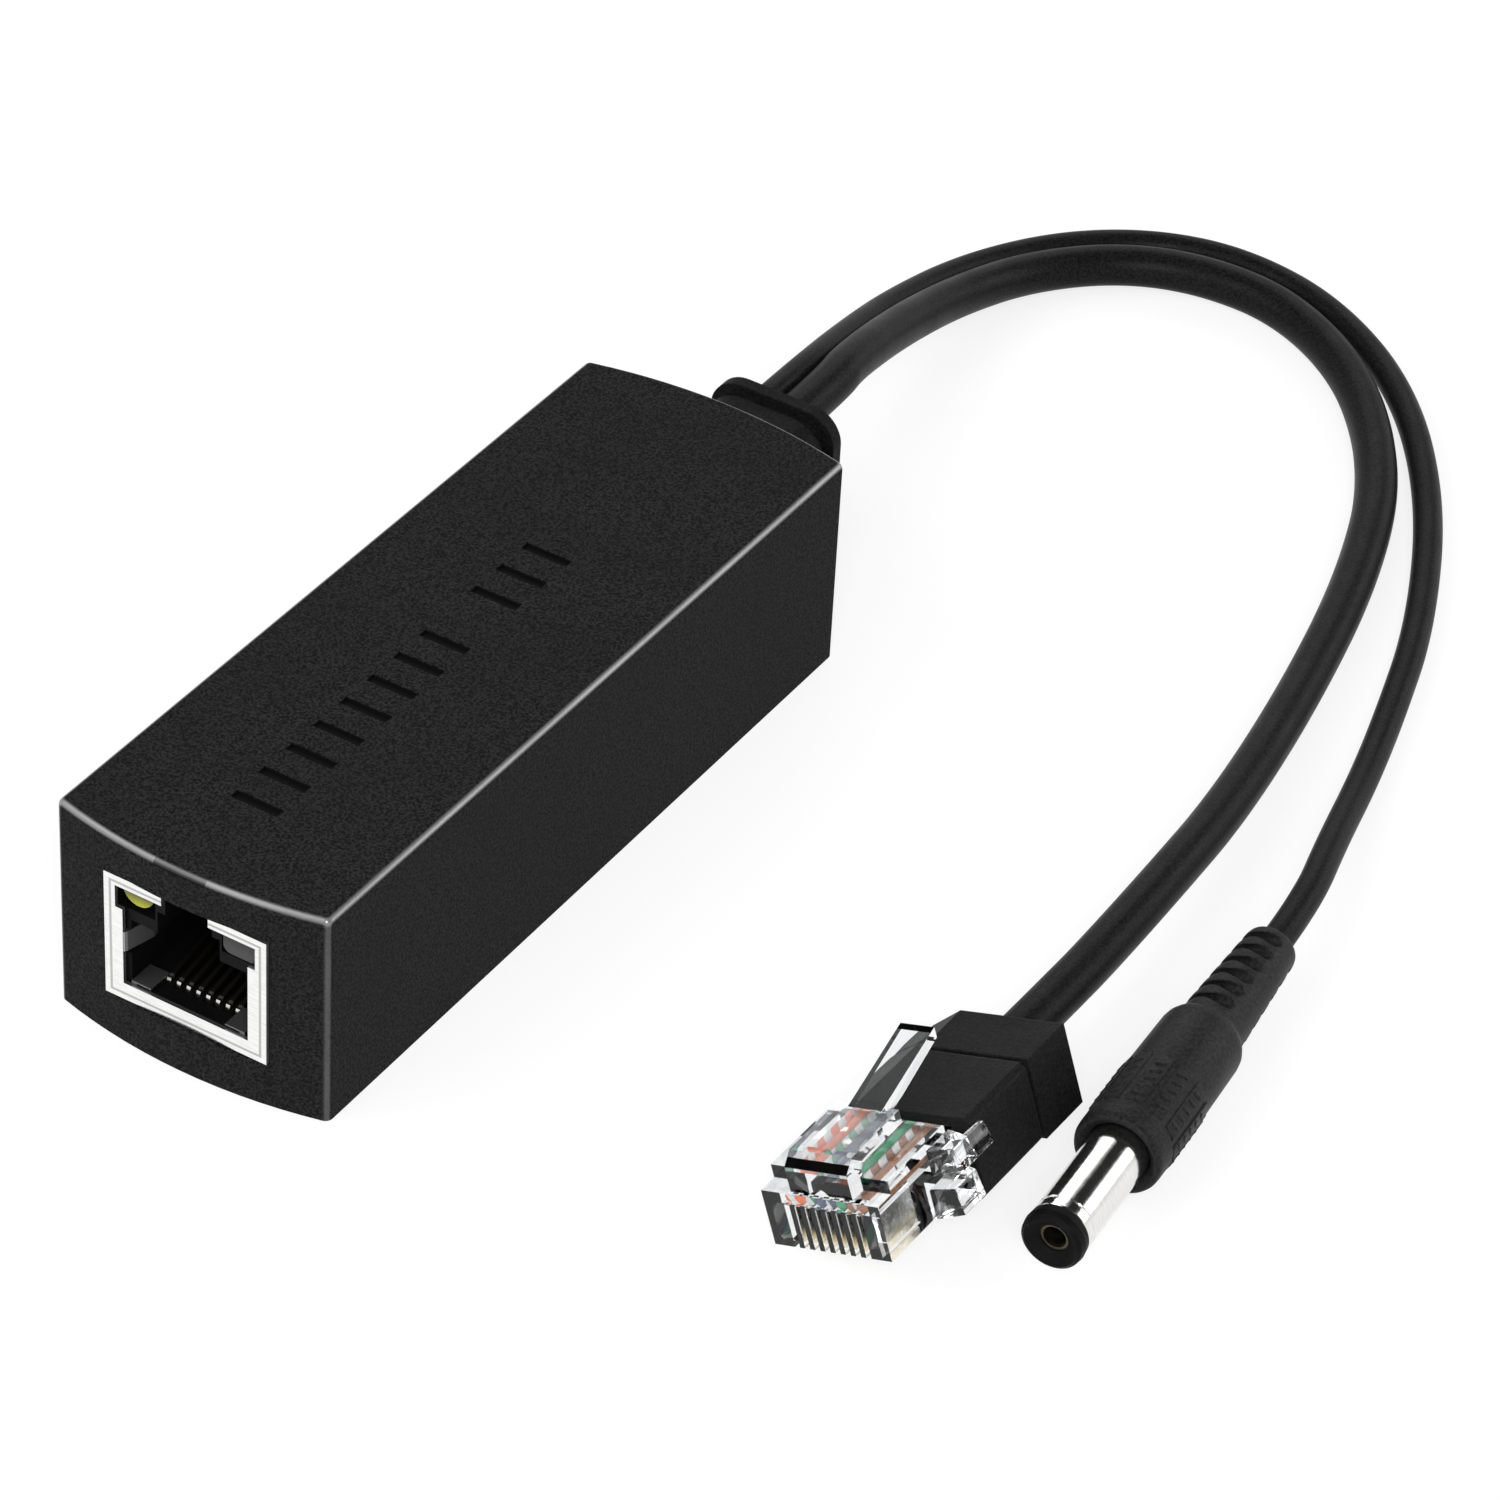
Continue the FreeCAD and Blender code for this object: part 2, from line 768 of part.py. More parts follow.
def jack_plan(side, x, depth):
    return ("jack_x + %d * (%s)" % (side, x), "jack_front_y + %s" % depth)


def make_jack_insert():
    """The black carrier: plug cavity, stepped keyway for the latch, lamp pockets and wire comb."""
    gap = "(sheet_metal + pin_gap)"
    core = box(
        "insert_block",
        ("jack_width - 2 * " + gap, "jack_depth - jack_frame - 2 * pin_gap - sheet_metal", "jack_height - sheet_metal - pin_gap"),
        jack_at("-jack_width / 2 + " + gap, "jack_frame + pin_gap", "0"),
    )
    tools = [
        box(
            "plug_cavity",
            ("cavity_width", "cavity_depth", "cavity_top - mouth_floor"),
            jack_at("-cavity_width / 2", "0", "mouth_floor"),
        ),
        box(
            "keyway",
            ("keyway_width", "cavity_depth", "keyway_top - mouth_floor"),
            jack_at("-keyway_width / 2", "0", "mouth_floor"),
        ),
        box(
            "tab_way",
            ("latch_gap_width", "cavity_depth", "jack_height"),
            jack_at("-latch_gap_width / 2", "0", "mouth_floor"),
        ),
    ]
    for side in (-1, 1):
        # the side springs of the shield lie in shallow pockets
        tools.append(block(
            "spring_pocket",
            (2.2, 14.4, 2.6),
            ("jack_x + %d * (mouth_width / 2 - 0.15)" % side, "jack_front_y", "board_top + 4.85"),
        ))
        tools.append(block(
            "lamp_pocket",
            lamp_lengths("2 * pin_gap"),
            lamp_middle(side, "pin_gap"),
        ))
        tools.append(cylinder(
            "leg_clearance", 0.8, 3.0,
            ("jack_x + %d * (jack_width / 2 - 0.5)" % side, "jack_front_y + 9.0", "board_top - 1"),
        ))
    for x in contact_places():
        tools.append(block(
            "comb_slot",
            ("contact_width + 0.2", "contact_tail - contact_front + 1.6", "mouth_floor"),
            ("jack_x + %s" % x, "jack_front_y + (contact_tail + contact_front) / 2 - 0.2", "board_top - 0.1"),
        ))
        tools.append(block(
            "comb_mouth",
            ("contact_width + 0.2", "cavity_depth - contact_front", "mouth_floor"),
            ("jack_x + %s" % x, "jack_front_y + (cavity_depth + contact_front) / 2 - 0.8", "board_top + 0.4"),
        ))
    return cut("jack_insert", core, tools)


def contact_places():
    """The contacts' places across the socket, as expressions."""
    count = int(size("contact_count"))
    return ["(%s) * contact_pitch" % (i - (count - 1) / 2) for i in range(count)]


def lamp_lengths(extra):
    return (
        "(window_width - keyway_width) / 2 - 0.5 + " + extra,
        "lamp_depth + " + extra,
        "window_top - window_floor - 0.1 + " + extra,
    )


def lamp_middle(side, sink):
    return (
        "jack_x + %d * (window_width + keyway_width + 0.5) / 4" % side,
        "jack_front_y + jack_frame + pin_gap + lamp_depth / 2",
        "board_top + window_floor - %s + 0.05" % sink,
    )


def make_lens():
    """The lit lamp: a half-round light pipe, flat on top, in the left of the two pockets."""
    pocket = block("lens_block", lamp_lengths("0"), lamp_middle(-1, "0"))
    middle = lamp_middle(-1, "0")
    pipe = cylinder(
        "lens_pipe",
        "lens_radius",
        "lamp_depth",
        (middle[0] + " + 0.18", "jack_front_y + jack_frame + pin_gap", "board_top + window_top - 0.1"),
        "y",
    )
    return common("lamp_left", [pocket, pipe])


def make_lamp(name, side):
    """A lamp's lens block, with its lower inner edge rounded like the real light pipe's."""
    lens = block(name + "_block", lamp_lengths("0"), lamp_middle(side, "0"))
    doc.recompute()
    middle = size("jack_x")
    low = min(v.Point.z for v in lens.Shape.Vertexes)

    def wanted(edge):
        if not along(Vector(0, 1, 0))(edge):
            return False
        at = edge.Vertexes[0].Point
        inner = min(abs(v.Point.x - middle) for v in lens.Shape.Vertexes)
        return abs(at.z - low) < 1e-6 and abs(abs(at.x - middle) - inner) < 1e-6

    return rounded(name, lens, 0.8, wanted)


def make_jack_contacts():
    """Eight spring wires: tail in the board, run under the floor, bend at the mouth, sprung tip."""
    front, tail = size("contact_front"), size("contact_tail")
    top = size("board_top")
    floor = size("mouth_floor")
    low = top - size("board_thickness") - size("pin_stickout")
    face = size("jack_front_y")
    run = top + 0.55
    path = [
        (face + tail, low),
        (face + tail, run),
        (face + front, run),
        (face + front - 0.35, run + 0.5),
        (face + front, top + floor + 0.1),
        (face + size("contact_tip_depth"), top + size("contact_tip_height")),
    ]
    count = int(size("contact_count"))
    wires = []
    for i in range(count):
        x = size("jack_x") + (i - (count - 1) / 2) * size("contact_pitch")
        wires.append(ribbon(path, size("contact_thickness"), size("contact_width"), x))
        BOARD_HOLES.append((0.4, x, "jack_front_y + contact_tail"))
    return feature("jack_contacts", Part.makeCompound(wires))


# Grommet and the wires behind it

REAR_FACE = "housing_length / 2"


def make_grommet():
    """Moulded in one: inner lip, neck in the wall's slot, block, groove and flange."""
    inner_face = "(%s - wall)" % REAR_FACE
    root = "(%s + 0.05)" % REAR_FACE
    groove = "(%s + grommet_block)" % root
    flange = "(%s + grommet_groove)" % groove
    parts = [
        rounded_block(
            "grommet_neck",
            ("neck_width", "wall + 0.4", "neck_height"),
            ("0", inner_face + " - 0.2", "grommet_z"),
            "neck_radius",
        ),
        rounded_block(
            "grommet_lip",
            ("grommet_width", "grommet_inner", "grommet_height"),
            ("0", inner_face + " - grommet_inner - end_bow * 0.4", "grommet_z"),
            "grommet_radius",
        ),
        rounded_block(
            "grommet_root",
            ("neck_width", "end_bow * 0.4 + 0.2", "neck_height"),
            ("0", inner_face + " - end_bow * 0.4 - 0.1", "grommet_z"),
            "neck_radius",
        ),
        rounded_block(
            "grommet_body",
            ("grommet_width", "grommet_block", "grommet_height"),
            ("0", root, "grommet_z"),
            "grommet_radius",
        ),
        rounded_block(
            "grommet_waist",
            (
                "grommet_width - 2 * grommet_groove_depth",
                "grommet_groove + 0.2",
                "grommet_height - 2 * grommet_groove_depth",
            ),
            ("0", groove + " - 0.1", "grommet_z"),
            "neck_radius",
        ),
        rounded_block(
            "grommet_flange",
            ("flange_width", "flange_thickness", "flange_height"),
            ("0", flange, "grommet_z"),
            "grommet_radius",
        ),
    ]
    return fuse("cable_grommet", parts)


LEAD_EXIT_Z = 12.8
LEAD_SHIFT_X = 3.65


def make_inner_wires(name, xs, levels, runs, pads, radius, spread):
    """Insulated wires from the grommet's inner lip down onto the board's rear end."""
    face = size("housing_length") / 2 - size("wall") - size("grommet_inner") - 0.4 * size("end_bow")
    top = size("board_top")
    wires = []
    for level, run, pad_y in zip(levels, runs, pads):
        for start_x, end_x in zip(xs, spread):
            points = [
                Vector(start_x, face, level),
                Vector(start_x, face - run, level),
                Vector(end_x, pad_y, top + 2.2),
                Vector(end_x, pad_y, top),
            ]
            wires.append(thin_wire(points, radius))
    return feature(name, Part.makeCompound(wires))


# Free leads: hand-picked points, from the grommet's flange to the run that enters each plug

NETWORK_ROUTE = [
    (0.0, 52.0, 12.8), (0.0, 61.5, 12.8), (-0.9, 65.7, 12.4), (-3.0, 78.8, 8.6), (-3.9, 92.0, 4.7),
    (-1.6, 102.6, 2.8), (4.7, 110.0, 2.4), (12.7, 113.45, 2.2), (22.4, 113.1, 2.1), (33.8, 106.1, 2.1),
    (43.7, 92.6, 2.1), (49.5, 76.4, 2.1), (53.4, 57.3, 2.1), (55.7, 39.6, 2.1), (56.9, 26.3, 2.6),
    (58.3, 14.0, 3.8),
]
POWER_ROUTE = [
    (-3.6, 52.0, 12.8), (-3.6, 61.0, 12.8), (-5.7, 72.8, 9.6), (-7.6, 85.6, 5.9), (-6.8, 98.6, 3.4),
    (-2.1, 109.6, 2.1), (5.3, 116.4, 1.6), (14.4, 118.9, 1.5), (25.8, 116.6, 1.45), (38.2, 107.8, 1.45),
    (48.9, 93.0, 1.5), (57.3, 74.7, 1.45), (61.6, 60.0, 1.45), (64.2, 50.0, 1.8), (67.0, 38.5, 3.6),
]


def make_lead(name, route, frame, entry, run, radius):
    """A lead that ends square on its plug's rear face, after a straight run along its axis."""
    points = [Vector(*point) for point in route]
    for back in (run, 0):
        point = frame.multVec(entry + Vector(0, back, 0))
        print("  %s point (%.3f, %.3f, %.3f)" % (name, point.x, point.y, point.z))
        points.append(point)
    return feature(name, tube(points, radius, report=name))


# Network plug, in its own frame

def tail_outline(gap):
    """The tail across its length: a block whose top left corner is bevelled to clear the boot's."""
    return [
        ("-plug_width / 2 - " + gap, "-" + gap),
        ("plug_width / 2 + " + gap, "-" + gap),
        ("plug_width / 2 + " + gap, "plug_neck_height + " + gap),
        ("-tail_flat - 0.4 * " + gap, "plug_neck_height + " + gap),
        ("-plug_width / 2 - " + gap, "tail_shoulder + 0.4 * " + gap),
    ]


def make_plug_body():
    """Clear moulding in one piece with its latch, which flexes at its root."""
    nose = block("nose", ("plug_width", "plug_nose_depth + 0.1", "plug_nose_height"), ("0", "(plug_nose_depth + 0.1) / 2", "0"))
    trunk = block(
        "trunk",
        ("plug_width", "plug_neck - plug_nose_depth", "plug_height"),
        ("0", "(plug_neck + plug_nose_depth) / 2", "0"),
    )
    tail = padded(
        "tail",
        "XZ_Plane",
        tail_outline("0"),
        "plug_length - plug_neck + 0.1",
        offset="-plug_length",
    )
    arm = padded(
        "latch_arm",
        "YZ_Plane",
        [
            ("latch_front", "plug_nose_height - 0.1"),
            ("latch_front + 2", "plug_nose_height - 0.1"),
            ("latch_front + 2", "latch_low - 0.4"),
            ("latch_front + 2.6", "latch_low"),
            ("latch_shoulder", "latch_low + 0.1"),
            ("latch_shoulder", "latch_top + 0.1"),
            ("latch_front + 1.2", "latch_top"),
            ("latch_front", "latch_top - 1"),
        ],
        "latch_width",
        symmetric=True,
    )
    tab = padded(
        "latch_tab",
        "YZ_Plane",
        [
            ("latch_shoulder - 0.5", "latch_low + 0.1"),
            ("latch_shoulder + 0.8", "latch_low + 0.4"),
            ("tab_end", "tab_end_height - tab_thickness"),
            ("tab_end", "tab_end_height"),
            ("latch_shoulder - 0.5", "latch_top + 0.1"),
        ],
        "tab_width",
        symmetric=True,
    )
    solid = fuse("plug_moulding", [nose, trunk, tail, arm, tab])
    tools = [
        block(
            "wire_channel",
            ("plug_width - 2.9", "plug_neck + 1.6 - core_start + 0.2", "2 * core_radius + 0.2"),
            ("0", "(plug_neck + 1.6 + core_start - 0.2) / 2", "core_height - core_radius - 0.1"),
        ),
        block(
            "jacket_pocket",
            ("plug_width - 3.0", "plug_length - plug_neck - 1.4 + 1", "plug_neck_height - 1.2"),
            ("0", "(plug_length + plug_neck + 1.4 + 1) / 2", "0.6"),
        ),
    ]
    for x in contact_places():
        tools.append(block(
            "blade_slot",
            ("blade_slot", "blade_length + 0.6", "core_height - core_radius + 0.4"),
            (x, "(blade_length + 0.6) / 2 - 0.1", "-0.3"),
        ))
    return cut("plug_body", solid, tools)


def make_plug_contacts():
    """Gold blades, each with two teeth that pierce the core above it."""
    blades = []
    for x in contact_places():
        blades.append(block(
            "blade",
            ("blade_width", "blade_length - 0.3", "blade_height"),
            (x, "blade_length / 2 + 0.35", "0.25"),
        ))
    return group("plug_contacts", blades)


def make_core(name, slot):
    """One insulated core: straight through the plug's comb, then drawn in towards the lead."""
    x = (slot - 3.5) * size("contact_pitch")
    height = size("core_height")
    neck = size("plug_neck")
    middle_x = (size("boot_right") - size("boot_left")) / 2
    middle_z = (size("boot_high") + size("boot_low")) / 2
    # at the lead the cores lie in two rows of four
    end = Vector(middle_x + (slot // 2 - 1.5) * 0.95, size("plug_length"), middle_z + (slot % 2 - 0.5) * 0.95)
    points = [
        Vector(x, size("core_start"), height),
        Vector(x, neck + 2.5, height),
        Vector(x * 0.94, neck + 4.7, end.z),
        Vector(end.x, size("plug_length") - 1.6, end.z),
        end,
    ]
    kept = [points[0]]
    for before, point, after in zip(points, points[1:], points[2:]):
        # a point in line with its neighbours needs no mitre
        if (point - before).getAngle(after - point) > 0.01:
            kept.append(point)
    return feature(name, thin_wire(kept + [end], size("core_radius") * math.cos(math.pi / 8)))


def make_boot():
    """The black sleeve over the plug's tail, with a seam groove and a solid, softer rear."""
    front = padded(
        "boot_sleeve",
        "XZ_Plane",
        [
            ("-boot_left", "boot_low + boot_chamfer"),
            ("-boot_left + boot_chamfer", "boot_low"),
            ("boot_right - boot_chamfer", "boot_low"),
            ("boot_right", "boot_low + boot_chamfer"),
            ("boot_right", "boot_high - boot_chamfer"),
            ("boot_right - boot_chamfer", "boot_high"),
            ("-boot_flat - 0.1", "boot_high"),
            ("-boot_left", "boot_high - boot_bevel - 0.05"),
        ],
        "boot_seam - seam_width / 2 - boot_front",
        offset="-(boot_seam - seam_width / 2)",
    )
    waist = padded(
        "boot_waist",
        "XZ_Plane",
        [
            ("-waist_left", "boot_low + seam_depth"),
            ("boot_right - seam_depth", "boot_low + seam_depth"),
            ("boot_right - seam_depth", "boot_high - seam_depth"),
            ("-waist_flat", "boot_high - seam_depth"),
            ("-waist_left", "boot_high - boot_bevel - 0.05"),
        ],
        "2 * seam_width",
        offset="-(boot_seam + seam_width)",
    )
    rear = padded(
        "boot_back",
        "XZ_Plane",
        [
            ("-boot_rear_left", "boot_low"),
            ("boot_right", "boot_low"),
            ("boot_right", "boot_high"),
            ("-boot_flat", "boot_high"),
            ("-boot_rear_left", "boot_high - boot_bevel"),
        ],
        "boot_rear - boot_seam - seam_width / 2",
        offset="-boot_rear",
    )
    solid = fuse("boot_solid", [front, waist, rear])
    pocket = padded(
        "boot_pocket",
        "XZ_Plane",
        tail_outline("0.05"),
        "plug_length - boot_front + 1.05",
        offset="-(plug_length + 0.05)",
    )
    return cut("plug_boot", solid, [pocket])


# Barrel plug, in its own frame

def make_dc_grip():
    """Overmoulded grip: bluff nose, tapered body with raised pads, slotted strain relief."""
    radius = "barrel_radius"
    body = revolved("grip_turned", [
        (radius, "grip_front"),
        ("grip_radius - grip_rim", "grip_front"),
        ("grip_radius", "grip_front + grip_rim"),
        ("grip_rear_radius", "grip_rear - 0.9"),
        ("grip_rear_radius - 0.3", "grip_rear - 0.2"),
        ("relief_radius + 0.1", "grip_rear"),
        ("relief_radius", "grip_rear + 0.4"),
        ("relief_end_radius", "relief_end - 0.3"),
        ("relief_end_radius - 0.3", "relief_end"),
        ("0", "relief_end"),
        ("0", "grip_front + grip_bore_depth"),
        (radius, "grip_front + grip_bore_depth"),
    ])
    pads = []
    count = int(size("pad_count"))
    for i in range(count):
        pad = block(
            "pad",
            ("pad_width", "pad_length", "grip_radius + pad_height - 2"),
            ("0", "pad_start + pad_length / 2", "2"),
        )
        turned = doc.addObject("Part::Compound", "pad_turned")
        turned.Links = [pad]
        turned.Placement = FreeCAD.Placement(Vector(), FreeCAD.Rotation(Vector(0, 1, 0), 360.0 * i / count))
        pads.append(turned)
    solid = fuse("grip_padded", [body] + pads)
    slots = []
    for i in range(int(size("relief_slots"))):
        for side in (-1, 1):
            slots.append(relief_slot(i, side))
    return cut("dc_grip", solid, slots)


def relief_slot(index, side):
    """A round-bottomed notch straight across the strain relief; two opposite sides have a row."""
    along_axis = "grip_rear + 1.7 + %d * relief_slot_pitch" % index
    shrink = "(relief_radius - relief_end_radius) * (1.7 + %d * relief_slot_pitch) / (relief_end - grip_rear)" % index
    notch = cylinder(
        "notch",
        "relief_slot_radius",
        "4 * relief_radius",
        ("-2 * relief_radius", along_axis, "%d * (relief_slot_reach - %s)" % (side, shrink)),
        "x",
    )
    turned = doc.addObject("Part::Compound", "notch_turned")
    turned.Links = [notch]
    turned.Placement = FreeCAD.Placement(
        Vector(), FreeCAD.Rotation(Vector(0, 1, 0), size("relief_slot_turn"))
    )
    return turned


def make_dc_barrel():
    """Plated sleeve: a shallow ring near its tip, rolled in over the insulator."""
    inner = "barrel_radius - barrel_wall"
    end = "grip_front + grip_bore_depth - 0.5"
    return revolved("dc_barrel", [
        (inner, "barrel_start"),
        ("barrel_radius - 0.1", "barrel_start"),
        ("barrel_radius", "barrel_start + 0.15"),
        ("barrel_radius", "barrel_start + 0.9"),
        ("barrel_radius - 0.12", "barrel_start + 1.0"),
        ("barrel_radius - 0.12", "barrel_start + 1.2"),
        ("barrel_radius", "barrel_start + 1.3"),
        ("barrel_radius", end),
        (inner, end),
    ])


def make_dc_insulator():
    """Black tip with a dished face, and the sleeve behind it that keeps the two poles apart."""
    bore = "pin_bore_radius + pin_sleeve_wall"
    inside = "barrel_radius - barrel_wall"
    end = "grip_front + grip_bore_depth - 0.5"
    return revolved("dc_tip_insulator", [
        (bore, "0.75"),
        ("tip_radius - 0.75", "0.2"),
        ("tip_radius - 0.45", "0"),
        ("tip_radius - 0.1", "0.3"),
        ("tip_radius", "0.9"),
        ("tip_radius - 0.1", "barrel_start"),
        (inside, "barrel_start"),
        (inside, end),
        (bore, end),
    ])


def make_dc_contact():
    """The inner pole: a thin tube that takes the 2.1 mm centre pin."""
    end = "grip_front + grip_bore_depth - 0.5"
    return revolved("dc_centre_contact", [
        ("pin_bore_radius", "0.9"),
        ("pin_bore_radius + pin_sleeve_wall", "0.9"),
        ("pin_bore_radius + pin_sleeve_wall", end),
        ("pin_bore_radius", end),
    ])


# Assembly

def set_in(frame, pieces):
    for piece in pieces:
        piece.Placement = frame
    return pieces


def assemble():
    nodes = [make_top_shell(), make_bottom_cover()]
    nodes += [make_jack_shield(), make_jack_insert(), make_jack_contacts()]
    nodes += [make_lens(), make_lamp("lamp_right", 1)]
    nodes.append(package("network_transformer", (12.7, 9.4, 5.8), (0.0, -13.4), 8, 1.27))
    nodes.append(package("rectifier_front", (4.7, 3.9, 2.6), (-7.0, -3.5), 2, 2.5))
    nodes.append(package("rectifier_rear", (4.7, 3.9, 2.6), (-1.2, -3.5), 2, 2.5))
    nodes.append(package("power_controller", (3.9, 5.0, 1.5), (-5.2, 2.6), 4, 1.27, turned=True))
    nodes.append(capacitor("input_capacitor", 4.0, 11.5, 5.9, -1.4))
    nodes += make_transformer(0.0, 12.4)
    nodes.append(package("output_diode", (2.6, 4.3, 2.2), (6.2, 21.2), 1, 1.0))
    nodes.append(rounded("output_inductor", block("inductor_block", (7.0, 7.0, 4.5), (-5.2, 23.6, "board_top")), 0.9, along(Vector(0, 0, 1))))
    nodes.append(capacitor("output_capacitor", 4.0, 12.0, 5.6, 28.2))
    nodes.append(make_chip_parts())
    nodes.append(make_circuit_board())
    nodes.append(make_grommet())
    bundle = [-1.5, -0.5, 0.5, 1.5]
    fan = [-2.4, -0.8, 0.8, 2.4]
    nodes.append(make_inner_wires("network_wires", bundle, [13.35, 12.25], [2.2, 0.8], [32.9, 35.5], 0.42, fan))
    nodes.append(make_inner_wires("power_wires", [-4.4, -3.1], [12.8], [1.2], [34.6], 0.6, [-6.6, -4.8]))
    boot_entry = Vector(0.15, size("boot_rear"), 2.7)
    relief_entry = Vector(0, size("relief_end"), 0)
    nodes.append(make_lead("network_cable", NETWORK_ROUTE, PLUG_FRAME, boot_entry, 11.0, size("network_cable_radius")))
    nodes.append(make_lead("power_cable", POWER_ROUTE, BARREL_FRAME, relief_entry, 7.0, size("power_cable_radius")))
    colours = ("white_orange", "orange", "white_green", "blue", "white_blue", "green", "white_brown", "brown")
    nodes += set_in(PLUG_FRAME, [make_plug_body(), make_plug_contacts(), make_boot()])
    cores = [make_core("core_%s" % colour, slot) for slot, colour in enumerate(colours)]
    nodes += set_in(PLUG_FRAME, cores)
    nodes += set_in(BARREL_FRAME, [make_dc_grip(), make_dc_barrel(), make_dc_insulator(), make_dc_contact()])
    return nodes


def check(nodes):
    doc.recompute()
    for piece in doc.Objects:
        if "Invalid" in piece.State or "Error" in piece.State:
            raise RuntimeError("%s failed: %s" % (piece.Label, piece.State))
    for node in nodes:
        if node.Shape.isNull() or not node.Shape.isValid():
            raise RuntimeError("%s has no valid shape" % node.Label)


def export(nodes):
    for node in nodes:
        node.Shape.exportStep("parts/%s.step" % node.Label)


nodes = assemble()
check(nodes)
export(nodes)
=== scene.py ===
import math

import bmesh
import bpy
from mathutils import Matrix, Vector


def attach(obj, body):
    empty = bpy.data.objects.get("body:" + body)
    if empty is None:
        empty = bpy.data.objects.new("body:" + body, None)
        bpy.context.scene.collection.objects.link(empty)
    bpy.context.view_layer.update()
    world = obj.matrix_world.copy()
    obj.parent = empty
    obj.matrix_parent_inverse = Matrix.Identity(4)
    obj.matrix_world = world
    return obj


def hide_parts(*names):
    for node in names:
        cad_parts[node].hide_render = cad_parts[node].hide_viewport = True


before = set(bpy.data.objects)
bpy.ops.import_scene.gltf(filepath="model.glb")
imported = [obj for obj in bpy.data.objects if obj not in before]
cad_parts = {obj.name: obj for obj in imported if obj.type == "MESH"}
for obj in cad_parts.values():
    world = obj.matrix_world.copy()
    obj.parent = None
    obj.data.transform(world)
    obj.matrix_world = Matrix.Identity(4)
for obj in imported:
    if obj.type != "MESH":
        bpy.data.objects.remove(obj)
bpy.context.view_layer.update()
MM = 0.001

# Places on the object that its materials and pieces refer to, in metres

BAR_FLOOR = 0.0215
BAR_HALF_LENGTH = 0.0026
LINE_CENTRE_X = 0.0003
LINE_CENTRE_Z = 0.01125
LINE_HALF_WIDTH = 0.00771
LINE_HALF_HEIGHT = 0.00591
SHIELD_FACE_BACK = -0.04152
CONTACT_BEND_BACK = -0.0389
# Heights between which painted shade deepens the lamp lens towards its top
LAMP_TOP_SHADE_FROM = 0.0151
LAMP_TOP_SHADE_TO = 0.0161
BLADE_GOLD_TOP = 0.0011
BLADE_NICKEL_FROM = 0.0019

# The two plugs' own frames, in millimetres: X across, Y back from the tip, Z up

PLUG_PLACE = (
    Matrix.Translation((58.95, -32.52, 3.35))
    @ Matrix.Rotation(math.radians(-0.74), 4, "Z")
    @ Matrix.Rotation(math.radians(-0.8), 4, "X")
    @ Matrix.Rotation(math.radians(-19.5), 4, "Y")
)
BARREL_PLACE = Matrix.Translation((73.37, -22.32, 4.4)) @ Matrix.Rotation(math.radians(4.35), 4, "Z")
TO_METRES = Matrix.Diagonal((MM, MM, MM, 1.0))


# Camera, at the photograph's place

AZIMUTH = math.radians(30.31)
ELEVATION = math.radians(37.89)
ROLL = math.radians(3.38)
CAMERA_OFFSET = Vector((25.687, 6.150, 560.27)) * MM
SENSOR = 36.0
FOCAL_PIXELS = 6288.39
PHOTO_PIXELS = 1500
LENS = SENSOR * FOCAL_PIXELS / PHOTO_PIXELS


def add_camera():
    data = bpy.data.cameras.new("camera")
    data.sensor_width = SENSOR
    data.lens = LENS
    data.clip_start = 0.01
    data.clip_end = 20.0
    camera = bpy.data.objects.new("camera", data)
    bpy.context.scene.collection.objects.link(camera)
    right = Vector((math.cos(AZIMUTH), math.sin(AZIMUTH), 0))
    back = Vector((
        math.sin(AZIMUTH) * math.cos(ELEVATION),
        -math.cos(AZIMUTH) * math.cos(ELEVATION),
        math.sin(ELEVATION),
    ))
    up = back.cross(right)
    turned = Matrix((
        right * math.cos(ROLL) + up * math.sin(ROLL),
        up * math.cos(ROLL) - right * math.sin(ROLL),
        back,
    )).transposed()
    camera.matrix_world = Matrix.Translation(turned @ CAMERA_OFFSET) @ turned.to_4x4()
    bpy.context.scene.camera = camera


# Materials

